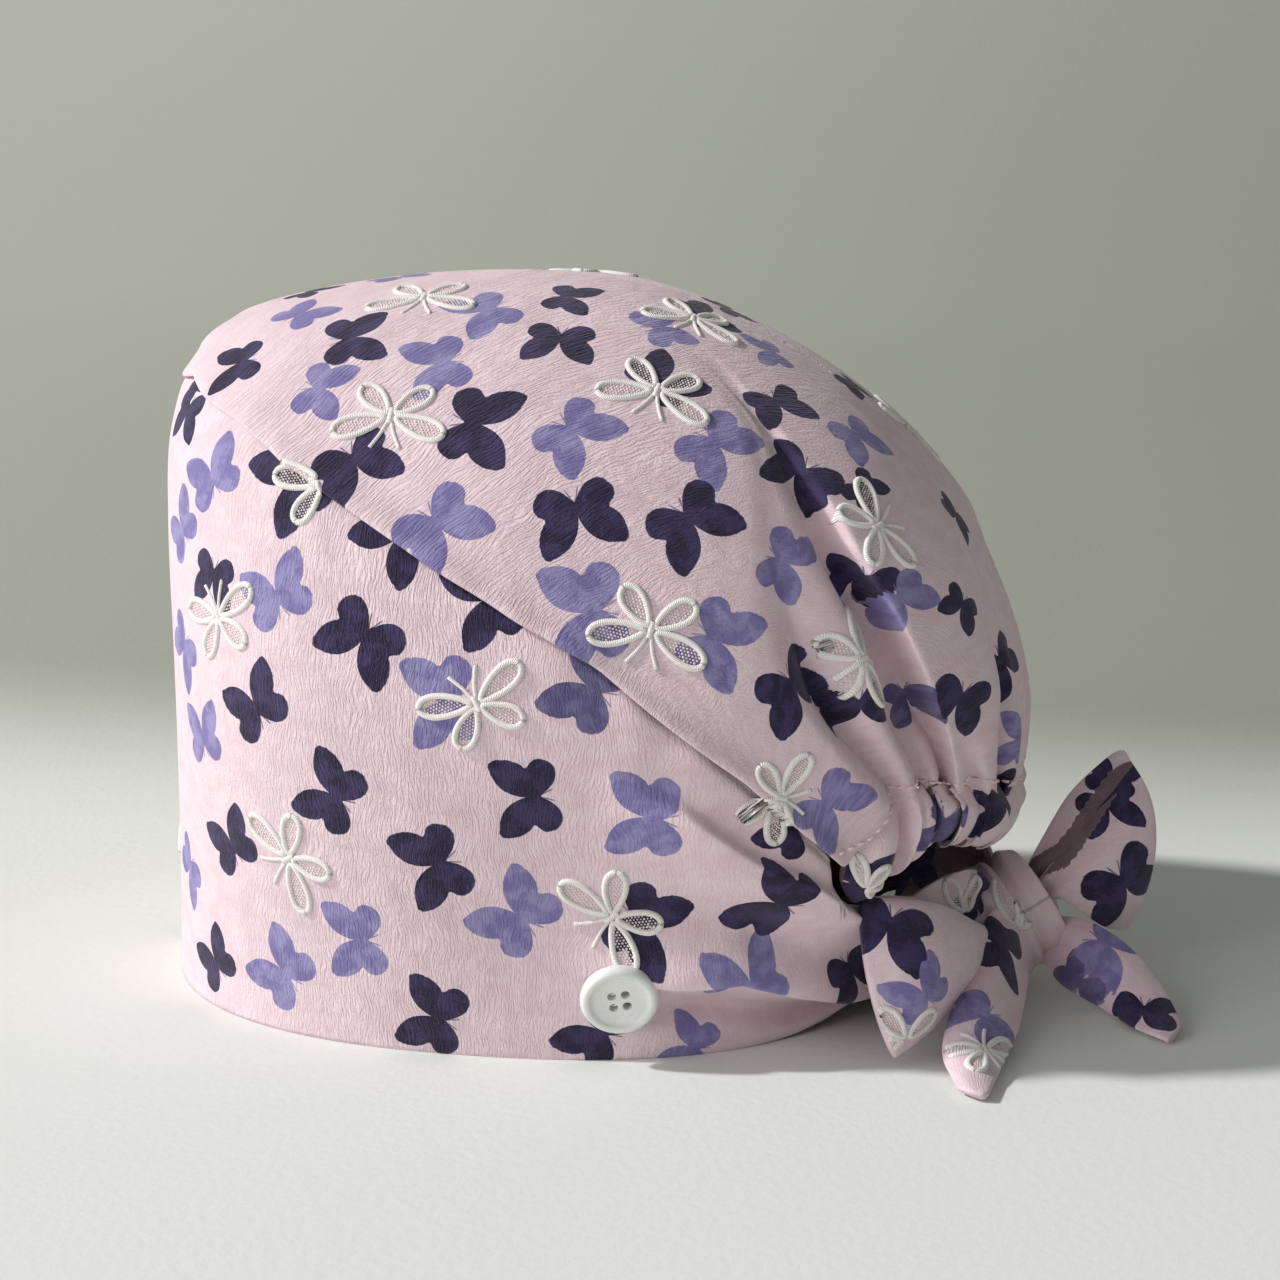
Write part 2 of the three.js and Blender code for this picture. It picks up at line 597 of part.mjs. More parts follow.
function addPiece(name, geometry, material) {
  const mesh = new THREE.Mesh(geometry, material);
  mesh.name = name;
  group.add(mesh);
  return mesh;
}

addPiece('front_band', makeBand(), bandCloth);
addPiece('crown_panel', makeCrown(), crownCloth);
addPiece('back_casing', makeCasing(), casingCloth);

const knotRoom = makeKnot(SEAT_GAP);

// The space that a strip needs: the strip made thicker and wider by the gap to its neighbours.
function roomOf(rows) {
  const wide = (u, v) => stripPoint(rows, u, (1 + 2 * ROOM_EDGE) * v - ROOM_EDGE);
  return stripBody(wide, STRIP_ALONG, ROOM_WALL);
}

const strip = (rows) => stripBody((u, v) => stripPoint(rows, u, v), STRIP_ALONG, TIE_WALL);
const tailRoom = roomOf(TAIL_LEFT);
const tailRightRoom = roomOf(TAIL_RIGHT);
const awayLeft = new THREE.Vector3(0.8, 0.55, 0.1).normalize();
const awayRight = new THREE.Vector3(-0.93, -0.12, 0.3).normalize();
const loopLeft = loopBody(LOOP_LEFT, LOOP_OPEN.left, awayLeft);
const loopRight = loopBody(LOOP_RIGHT, LOOP_OPEN.right, awayRight);

addPiece('bow_knot', makeKnot(), tieCloth);
addPiece('tie_left', clearOf(strip(TIE), knotRoom), tieCloth);
addPiece('tie_right', clearOf(strip(mirrored(TIE)), knotRoom), tieCloth);
addPiece('tie_tail_left', clearOf(strip(TAIL_LEFT), knotRoom), tieCloth);
addPiece('tie_tail_right', clearOf(strip(TAIL_RIGHT), knotRoom), tieCloth);
addPiece('bow_loop_left', clearOf(loopLeft, knotRoom, tailRoom, roomOf(TIE)), tieCloth);
addPiece('bow_loop_right', clearOf(loopRight, knotRoom, tailRightRoom), tieCloth);

for (const [name, side] of [['button_left', 1], ['button_right', -1]]) {
  const { centre, turn } = buttonFrame(side);
  const button = addPiece(name, makeButton(), buttonShine);
  button.position.copy(centre);
  button.quaternion.copy(turn);
}

export default group;
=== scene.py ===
"""A scrub cap with ties: its cloth, print, embroidery and buttons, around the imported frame."""

import logging
import math
from dataclasses import dataclass, field, replace
from enum import Enum
from typing import Callable, NamedTuple, Sequence

import bpy
import numpy as np
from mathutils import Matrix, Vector
from mathutils.bvhtree import BVHTree
from numpy.typing import NDArray


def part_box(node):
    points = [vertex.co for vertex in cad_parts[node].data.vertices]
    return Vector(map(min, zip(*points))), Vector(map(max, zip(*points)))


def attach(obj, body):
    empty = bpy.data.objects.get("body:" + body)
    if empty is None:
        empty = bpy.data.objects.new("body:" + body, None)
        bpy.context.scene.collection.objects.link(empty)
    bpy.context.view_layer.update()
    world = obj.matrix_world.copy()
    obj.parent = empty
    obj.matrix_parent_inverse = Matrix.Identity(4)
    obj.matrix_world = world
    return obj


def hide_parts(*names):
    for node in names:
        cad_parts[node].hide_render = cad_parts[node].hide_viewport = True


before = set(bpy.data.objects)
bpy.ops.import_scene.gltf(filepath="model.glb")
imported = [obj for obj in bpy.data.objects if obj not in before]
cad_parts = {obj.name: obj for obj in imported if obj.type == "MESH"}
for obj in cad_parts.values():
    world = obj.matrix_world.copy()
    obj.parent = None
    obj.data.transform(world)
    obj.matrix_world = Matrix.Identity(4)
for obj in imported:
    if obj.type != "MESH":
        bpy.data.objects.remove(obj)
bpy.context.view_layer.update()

log = logging.getLogger("scrub_cap")

Points = NDArray[np.float64]
Colour = tuple[float, float, float]
Shade = tuple[int, int, int]  # a display colour, from 0 to 255 each

MM = 0.001
BODY = "root"
NO_MOTIF = 9.0  # a place inside a motif's square that lies well outside its outline
FRONT_REACH = 104.5  # mm from the head's axis to the hem in front
AXIS_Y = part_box("front_band")[0].y / MM + FRONT_REACH


class Slot(Enum):
    """The record's material slots."""

    PRINTED = "printed_crepe"
    TIE = "tie_crepe"
    BUTTON = "button_shell"


class Tone(Enum):
    """The inks of the printed butterflies; the value is the ink's place from dark to light."""

    DARK = 0.0
    PLUM = 0.5
    LAVENDER = 1.0


def to_frame(points: Points) -> Points:
    """Turn points of the cap's own millimetres into the frame's metres."""
    return (np.asarray(points, float) + np.array([0.0, AXIS_Y, 0.0])) * MM


def smooth(value: Points, low: float, high: float) -> Points:
    """Rise softly from 0 at low to 1 at high."""
    share = np.clip((value - low) / (high - low), 0.0, 1.0)
    return share * share * (3.0 - 2.0 * share)


def unit(vectors: Points) -> Points:
    """Scale vectors to length one."""
    return vectors / np.maximum(np.linalg.norm(vectors, axis=-1, keepdims=True), 1e-12)


def wrapped(angle: Points) -> Points:
    """Bring angles in degrees into the range from -180 to 180."""
    return (angle + 180.0) % 360.0 - 180.0


def through(rows: Points, at: Points) -> Points:
    """Read a smooth curve through the rows of a table.

    Args:
        rows: the table, one row for each section.
        at: row numbers, which may lie between rows.

    Returns:
        One row of values for each number.
    """
    last = len(rows) - 1
    i = np.clip(np.floor(at).astype(int), 0, last - 1)
    u = np.clip(at - i, 0.0, 1.0)[..., None]
    start, end = rows[i], rows[i + 1]
    before, after = rows[np.maximum(i - 1, 0)], rows[np.minimum(i + 2, last)]
    slope_in = np.where((i > 0)[..., None], (end - before) / 2, end - start)
    slope_out = np.where((i < last - 1)[..., None], (after - start) / 2, end - start)
    return (
        (2 * u**3 - 3 * u**2 + 1) * start
        + (u**3 - 2 * u**2 + u) * slope_in
        + (3 * u**2 - 2 * u**3) * end
        + (u**3 - u**2) * slope_out
    )


class Section(NamedTuple):
    """Heights and radii of the cap's outline in front, at the side and at the back, in mm."""

    zf: float
    rf: float
    zs: float
    rs: float
    zb: float
    rb: float


class Edge(NamedTuple):
    """Height in mm of an edge at an angle from the front, in degrees."""

    phi: float
    z: float


OUTLINE = (
    Section(0, 104.5, 0, 85.5, 0, 104),
    Section(30, 103.5, 30, 88.5, 28, 122),
    Section(65, 103, 62, 92, 54, 139),
    Section(100, 102.5, 94, 94, 80, 143),
    Section(135, 102.5, 124, 91, 108, 136),
    Section(162, 101.5, 150, 83, 138, 122),
    Section(181, 94, 171, 69, 164, 100),
    Section(192.5, 74, 189, 47, 185, 70),
    Section(199.5, 40, 199, 24, 199, 36),
    Section(203, 0, 203, 0, 203, 0),
)
BAND_TOP = (
    Edge(0, 172), Edge(24, 178.5), Edge(45, 169), Edge(67, 153.3), Edge(90, 134), Edge(111, 114.3),
    Edge(130, 83.5), Edge(143, 57), Edge(144.4, 46), Edge(147, 42), Edge(152, 37), Edge(158, 31),
)
CROWN_FOOT = (
    Edge(143, 57), Edge(145, 61), Edge(149, 68.5), Edge(153, 73),
    Edge(158, 72.5), Edge(164, 68.5), Edge(172, 63), Edge(180, 61),
)
CASING_FOOT = (
    Edge(144, 50), Edge(147, 45), Edge(150, 47), Edge(153, 54),
    Edge(157, 58), Edge(162, 54.5), Edge(172, 48.5), Edge(180, 47),
)
BAND_HEM = (Edge(0, 0), Edge(136, 0), Edge(146, 1), Edge(152, 3), Edge(158, 6))


def edge_height(rows: Sequence[Edge], phi: Points) -> Points:
    """Height of an edge at each angle, on straight stretches between its rows."""
    return np.interp(np.abs(phi), [row.phi for row in rows], [row.z for row in rows])


@dataclass(frozen=True)
class CapForm:
    """The plain form of the cap, before its folds, as a surface over an angle and a row number.

    The powers square off the outline as seen from above, in front and behind.
    """

    outline: tuple[Section, ...] = OUTLINE
    top: float = float(len(OUTLINE) - 1)
    front_power: float = 2.35
    back_power: float = 2.3

    def points(self, phi: Points, t: Points) -> Points:
        """Places on the plain form.

        Args:
            phi: angles from the front towards the wearer's left, in degrees.
            t: outline row numbers.

        Returns:
            Points in the cap's millimetres.
        """
        zf, rf, zs, rs, zb, rb = np.moveaxis(through(np.array(self.outline, float), t), -1, 0)
        c, s = np.cos(np.radians(phi)), np.sin(np.radians(phi))
        front = c >= 0
        along = np.maximum(np.where(front, rf, rb), 1e-6)
        across = np.maximum(rs, 1e-6)
        power = np.where(front, self.front_power, self.back_power)
        r = (np.abs(c / along) ** power + np.abs(s / across) ** power) ** (-1 / power)
        z = zs + (np.where(front, zf, zb) - zs) * c * c
        return np.stack([r * s, -r * c, z], axis=-1)

    def row_at(self, phi: Points, z: Points) -> Points:
        """Find where the form reaches a height.

        Args:
            phi: angles of the places.
            z: their heights.

        Returns:
            The outline row number of each place.
        """
        low, high = np.zeros_like(phi), np.full_like(phi, self.top)
        for _ in range(32):
            middle = (low + high) / 2
            below = self.points(phi, middle)[..., 2] < z
            low, high = np.where(below, middle, low), np.where(below, high, middle)
        return (low + high) / 2


FORM = CapForm()


@dataclass(frozen=True)
class LevelFold:
    """A fold that runs round the band; its crest is a list of edges from front to back.

    The widths are in mm, below and above the crest.
    """

    crest: tuple[Edge, ...]
    below: float
    above: float
    high: float
    start: float = 0.3
    end: float = 0.0
    droop: float = 0.0

    def lift(self, phi: Points, z: Points, side: int, shift: float) -> tuple[Points, Points]:
        """How far the fold moves the cloth.

        Args:
            phi: angles of the places.
            z: heights of the places.
            side: 1 on the wearer's left, -1 on the right.
            shift: how far the fold lies above its crest's heights, in mm.

        Returns:
            How far each place moves out and how far down, in mm.
        """
        angles = [point.phi for point in self.crest]
        at = np.clip(side * phi, -180, 180)
        middle = np.interp(at, angles, [point.z for point in self.crest]) + shift
        along = np.clip((at - angles[0]) / (angles[-1] - angles[0]), 0.0, 1.0)
        away = z - middle
        share = away / np.where(away < 0, self.below, self.above)
        body = np.exp(-(share**2)) * smooth(along, 0.0, self.start)
        if self.end > 0:
            body *= 1.0 - smooth(along, 1.0 - self.end, 1.0)
        return self.high * body, -self.droop * body


BAND_FOLDS = (
    LevelFold((Edge(110, 84), Edge(123, 72.5), Edge(132.5, 58), Edge(139.5, 51), Edge(144, 43.5),
               Edge(149.5, 35.5), Edge(156, 30)), 15.0, 2.4, 5.5, start=0.4),
    LevelFold((Edge(106, 27), Edge(122.5, 26.4), Edge(132, 27.6), Edge(140, 21.6), Edge(149, 15.8),
               Edge(156, 15)), 3.6, 9.0, 6.5, start=0.45, droop=3.4),
    LevelFold((Edge(114, 17), Edge(122.5, 15.5), Edge(132.5, 14), Edge(141, 10), Edge(150, 6.5),
               Edge(158, 6)), 5.0, 4.0, -7.0, start=0.4),
    LevelFold((Edge(118, 50), Edge(130, 43), Edge(140, 35), Edge(150, 26), Edge(156, 23)),
              7.0, 5.0, -4.0, start=0.5),
)
FRONT_PLEAT = (
    LevelFold(
        (Edge(-8, 190.5), Edge(1, 188.6), Edge(6.5, 186.8), Edge(14.5, 183.4), Edge(21, 178.9)),
        2.6, 9.0, 1.7, start=0.3, end=0.3,
    ),
)
FAR_SHIFTS = (1.5, -0.6, 0.9, -1.4)


def folded(phi: Points, z: Points, folds: Sequence[LevelFold]) -> tuple[Points, Points]:
    """Sum the folds on both sides of the cap.

    Args:
        phi: angles of the places.
        z: heights of the places.
        folds: the ridges and creases of the wearer's left; the right side has shifted copies.

    Returns:
        How far each place moves out and how far down, in mm.
    """
    out, down = np.zeros_like(z), np.zeros_like(z)
    for fold, shift in zip(folds, FAR_SHIFTS):
        for side, moved in ((1, 0.0), (-1, shift)):
            lift, drop = fold.lift(phi, z, side, moved)
            out += lift
            down += drop
    return out, down


class PleatPoint(NamedTuple):
    """A place on a line down the gathers: its pixel, and how far the cloth stands out, in mm."""

    x: float
    y: float
    out: float


@dataclass(frozen=True)
class PleatLine:
    """A crest or a crease down the gathered back; a sharp one has no rounded bottom."""

    points: tuple[PleatPoint, ...]
    sharp: bool = False


def line_of(*rows: tuple[float, float, float], sharp: bool = False) -> PleatLine:
    """A pleat line from rows of x, y and out."""
    return PleatLine(tuple(PleatPoint(*row) for row in rows), sharp)


PLEATS = {
    "first crest": line_of(
        (735, 420, 0), (742, 480, 0.5), (748, 540, 1), (752, 600, 2), (765, 650, 3), (790, 700, 4),
        (838, 759, 4.5), (867, 790, 4), (884, 806, 3),
    ),
    "first crease": line_of(
        (745, 420, -0.5), (757, 480, 0), (772, 540, 0), (788, 600, -1), (800, 650, -3), (812, 690, -6),
        (831, 722, -8), (863, 757, -8), (889, 786, -7), (895, 806, -5), sharp=True,
    ),
    "second crest": line_of(
        (752, 420, -1), (772, 480, -0.5), (797, 540, 0), (820, 580, 0.5), (843, 616, 1), (858, 657, 2),
        (870, 696, 2), (875, 722, 2), (892, 749, 2), (903, 768, 2), (909, 784, 2), (917, 805, 1),
    ),
    "deep crease, front": line_of(
        (760, 425, -2), (788, 480, -3), (815, 540, -6), (840, 590, -8), (858, 620, -9), (873, 655, -9),
        (884, 693, -9), (890, 722, -9), (906, 749, -8), (915, 768, -7), (922, 785, -6), (928, 805, -5),
        sharp=True,
    ),
    "small crest": line_of(
        (765, 428, -2.2), (795, 480, -3.2), (823, 540, -6), (850, 590, -8), (868, 622, -9),
        (886, 660, -9), (901, 698, -8), (917, 730, -5), (928, 754, -3), (935, 780, -1), (938, 805, 0),
    ),
    "deep crease, back": line_of(
        (770, 428, -2), (803, 480, -3), (833, 540, -6), (862, 590, -8), (881, 622, -9),
        (900, 660, -9), (916, 698, -9), (930, 728, -8.5), (940, 754, -8), (945, 780, -7), (948, 805, -6),
        sharp=True,
    ),
    "broad crest, front": line_of(
        (776, 424, -0.5), (819, 487, 1), (844, 526, 2.5), (857, 553, 3.5), (882, 594, 4.5),
        (897, 621, 5), (916, 662, 5), (930, 698, 5), (942, 725, 5), (950, 756, 4), (955, 783, 3),
        (959, 805, 2),
    ),
    "broad crest, middle": line_of(
        (800, 415, 0), (880, 500, 2.5), (925, 600, 4.5), (945, 680, 5), (957, 722, 4.5), (963, 749, 2),
        (971, 773, -2), (967, 800, -4), sharp=True,
    ),
    "broad crest, back": line_of(
        (850, 415, 0.5), (954, 536, 3.5), (962, 577, 4.5), (971, 618, 5), (983, 655, 5), (988, 686, 5),
        (987, 722, 4.5), (985, 771, 4), (991, 793, 3),
    ),
    "last crease": line_of(
        (870, 415, 0), (960, 536, 1.5), (968, 577, 0.5), (979, 618, 0), (991, 655, -1), (997, 686, -2),
        (997, 722, -3), (995, 771, -4), (1001, 793, -5), sharp=True,
    ),
    "last crest": line_of(
        (930, 450, 0.5), (990, 560, 1), (1008, 640, 1.5), (1014, 700, 1.5), (1014, 740, 1.5),
        (1011, 775, 1),
    ),
}


@dataclass
class Gathers:
    """The folds of the gathered back, between the lines charted on the photograph."""

    first: float = 114.0  # degrees: the cloth ahead of this is calm
    least: float = 1.7  # degrees between two lines
    fade: float = 26.0  # mm above a line's head in which it dies away
    deepen: float = 1.35  # the rounding of the cloth fills the creases by about this much
    far_turn: float = 1.8  # degrees by which the far side's folds lie elsewhere
    far_from: float = 120.0  # degrees from the front at which they begin to
    at_back: float = 0.3  # share of the last line's height at the middle of the back
    sharpness: float = 1.5  # bend of the cloth into a sharp line
    search: tuple[float, float, float] = (560.0, 1000.0, 0.5)  # mm from the camera: start, end, step
    lines: list[tuple[Points, bool]] = field(default_factory=list)

    def __post_init__(self) -> None:
        """Find the angles and heights of the charted lines."""
        for name, line in PLEATS.items():
            places = [(*self.place(point), point.out) for point in line.points]
            table = np.array(sorted(places, key=lambda row: row[1]))
            log.info("%s: %s", name, np.round(table[::4], 1).tolist())
            self.lines.append((table, line.sharp))

    def place(self, point: PleatPoint) -> tuple[float, float]:
        """Find where a pixel meets cloth that stands out from the form.

        Args:
            point: the pixel, and how far the cloth stands out.

        Returns:
            The place's angle and height.
        """
        eye = VIEW.eye() / MM - np.array([0.0, AXIS_Y, 0.0])
        places = eye + VIEW.ray(point.x, point.y) * np.arange(*self.search)[:, None]
        phi = np.degrees(np.arctan2(places[:, 0], -places[:, 1])) % 360
        plain = FORM.points(phi, FORM.row_at(phi, places[:, 2]))
        proud = np.linalg.norm(places[:, :2], axis=1) - np.linalg.norm(plain[:, :2], axis=1) - point.out
        met = np.nonzero(proud < 0)[0]
        k = met[0] if len(met) else int(np.argmin(proud))
        return float(phi[k]), float(places[k, 2])

    def at(self, phi: Points, z: Points) -> tuple[Points, Points]:
        """How the folds move the cloth.

        Args:
            phi: angles of the places.
            z: heights of the places.

        Returns:
            How far it stands out, in mm, and how far it is drawn round the cap, in degrees.
        """
        folded_angle = np.abs(wrapped(phi))
        far = phi < 0
        share = np.clip((folded_angle - self.far_from) / (180.0 - self.far_from), 0, 1)
        folded_angle += np.where(far, self.far_turn * np.sin(np.pi * share), 0)
        angles, heights, firm = [np.full_like(z, self.first)], [np.zeros_like(z)], [np.zeros_like(z)]
        for table, _ in self.lines:
            strength = 1 - smooth(z, table[-1, 1], table[-1, 1] + self.fade)
            angles.append(np.interp(z, table[:, 1], table[:, 0]))
            proud = np.interp(z, table[:, 1], table[:, 2])
            heights.append(np.where(proud < 0, self.deepen, 1.0) * proud * strength)
            firm.append(strength)
        angles.append(np.full_like(z, 180.0))
        heights.append(heights[-1] * self.at_back)
        firm.append(np.zeros_like(z))
        order = np.arange(len(angles)).reshape((-1,) + (1,) * z.ndim) * self.least
        real = np.minimum(np.stack(angles), 180.0 - order[-1] + order)
        last = real - order
        from_front = np.maximum.accumulate(last, axis=0)
        from_back = np.minimum.accumulate(last[::-1], axis=0)[::-1]
        kept = (from_front + from_back) / 2 + order
        kept[0], kept[-1] = self.first, 180.0
        kept = np.minimum(np.maximum.accumulate(kept, axis=0), 180.0)
        drawn = (real - kept) * np.stack(firm)
        sharp = [False] + [line_sharp for _, line_sharp in self.lines] + [False]
        out, turn = np.zeros_like(z), np.zeros_like(z)
        for k in range(len(angles) - 1):
            span = np.maximum(kept[k + 1] - kept[k], 1e-3)
            u = (folded_angle - kept[k]) / span
            here = (u >= 0) & (u < 1)
            u = np.clip(u, 0, 1)
            ease = u * u * (3 - 2 * u)
            bend = self.sharpness * ((u**3 - 2 * u**2 + u) * sharp[k] + (u**3 - u**2) * sharp[k + 1])
            out = np.where(here, heights[k] + (heights[k + 1] - heights[k]) * (ease + bend), out)
            turn = np.where(here, drawn[k] + (drawn[k + 1] - drawn[k]) * u, turn)
        return out, np.where(far, -turn, turn)

    def placed(self, phi: Points, z: Points, plain: Points) -> tuple[Points, Points]:
        """Draw places round the form as the folds do.

        Args:
            phi: angles of the places.
            z: heights of the places.
            plain: the places on the plain form.

        Returns:
            The places on the form once drawn round, and how far they stand out, in mm.
        """
        out, turn = self.at(phi, z)
        angle = phi + turn
        moved = FORM.points(angle, FORM.row_at(angle, z))
        return np.where(np.abs(turn)[..., None] > 0.01, moved, plain), out


def ripple(phi: Points, z: Points, size: float, seed: float) -> Points:
    """Slow unevenness of hanging cloth, from a few crossed waves.

    Args:
        phi: angles of the places.
        z: their heights.
        size: how far it goes, in mm.
        seed: where the waves start.

    Returns:
        How far each place moves out, in mm.
    """
    a = np.sin(np.radians(phi) * 5.3 + z / 47.0 + seed)
    b = np.sin(np.radians(phi) * 9.1 - z / 31.0 + 2.1 * seed)
    c = np.sin(np.radians(phi) * 3.7 - z / 23.0 + 0.7 * seed)
    return size * (a + 0.6 * b + 0.5 * c) / 2.1


class Sheet(NamedTuple):
    """A grid of cloth: rows of points around a closed section, with what the finish reads there."""

    points: Points
    plain: Points
    weave: Points
    inside: Points
    wrap: bool
    apex: bool


def rim(outer: Points, inner: Points, past: Points, steps: int = 3) -> Points:
    """Round a cut edge over from the outer to the inner face.

    Args:
        outer: the outer face's edge points.
        inner: the inner face's edge points.
        past: the point half way over.
        steps: rows added, an odd number.

    Returns:
        Points of shape columns by steps by 3.
    """
    shares = (np.arange(steps) + 1) / (steps + 1)
    rows = []
    for share in shares:
        flat = outer + (inner - outer) * share
        middle = (outer + inner) / 2
        rows.append(flat + (past - middle) * math.sin(math.pi * share))
    return np.stack(rows, axis=1)


def grid_normals(points: Points, wrap: bool) -> Points:
    """Find directions square to a grid.

    Args:
        points: the grid, columns by rows by 3.
        wrap: whether the last column joins the first.

    Returns:
        One unit vector for each point.
    """
    if wrap:
        along = np.roll(points, -1, axis=0) - np.roll(points, 1, axis=0)
    else:
        along = np.gradient(points, axis=0)
    return unit(np.cross(along, np.gradient(points, axis=1)))


def faces_of(ids: NDArray[np.int64], wrap: bool, closed: bool) -> list[list[int]]:
    """Make faces between neighbouring columns and rows, with closed ends.

    Args:
        ids: vertex numbers, columns by rows.
        wrap: whether the last column joins the first.
        closed: whether the last row joins the first.

    Returns:
        The vertex numbers of each face.
    """
    columns = ids.shape[0]
    right = np.roll(ids, -1, axis=0) if wrap else ids[1:]
    left = ids if wrap else ids[:-1]
    if closed:
        quads = np.stack([left, right, np.roll(right, -1, 1), np.roll(left, -1, 1)], -1)
    else:
        quads = np.stack([left[:, :-1], right[:, :-1], right[:, 1:], left[:, 1:]], -1)
    faces = [list(dict.fromkeys(quad)) for quad in quads.reshape(-1, 4).tolist()]
    if not wrap:
        half = ids.shape[1] // 2
        for column, turn in ((0, 1), (columns - 1, -1)):
            ring = ids[column].tolist()
            for k in range(half - 1):
                quad = [ring[k], ring[k + 1], ring[-2 - k], ring[-1 - k]]
                faces.append(quad[::turn])
    return faces


def add_piece(
    name: str,
    mesh: bpy.types.Mesh,
    material: bpy.types.Material,
    nodes: Sequence[str] = (),
) -> None:
    """Link a mesh as a named piece that rides on the cap, and report it.

    Args:
        name: the piece's name.
        mesh: its finished mesh.
        material: its finish.
        nodes: the CAD nodes that it stands for.
    """
    piece = bpy.data.objects.new(name, mesh)
    bpy.context.scene.collection.objects.link(piece)
    mesh.materials.append(material)
    mesh.shade_smooth()
    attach(piece, BODY)
    if nodes:
        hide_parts(*nodes)
    log.info("%s: %d vertices, %d faces", name, len(mesh.vertices), len(mesh.polygons))


def mesh_of(name: str, vertices: Points, faces: list[list[int]]) -> bpy.types.Mesh:
    """Make a mesh.

    Args:
        name: its name.
        vertices: places in metres.
        faces: vertex numbers, with the faces pointing out.

    Returns:
        The mesh.
    """
    mesh = bpy.data.meshes.new(name)
    mesh.from_pydata(vertices.tolist(), [], faces)
    mesh.update()
    return mesh


def set_points(mesh: bpy.types.Mesh, name: str, values: Points) -> None:
    """Store a vector for each vertex."""
    layer = mesh.attributes.new(name, "FLOAT_VECTOR", "POINT")
    layer.data.foreach_set("vector", np.ascontiguousarray(values, np.float32).ravel())


def corner_data(mesh: bpy.types.Mesh) -> tuple[NDArray[np.int64], NDArray[np.int64]]:
    """Read which vertex and face each face corner has.

    Args:
        mesh: the mesh.

    Returns:
        The vertex numbers and the face numbers, one for each corner.
    """
    vertex = np.zeros(len(mesh.loops), np.int32)
    mesh.loops.foreach_get("vertex_index", vertex)
    total = np.zeros(len(mesh.polygons), np.int32)
    mesh.polygons.foreach_get("loop_total", total)
    return vertex.astype(np.int64), np.repeat(np.arange(len(total)), total)


@dataclass(frozen=True)
class Spot:
    """Where a printed or stitched butterfly lies on a piece: its centre and its two axes."""

    centre: Points
    across: Points
    ahead: Points
    outward: Points
    reach: float
    tone: float


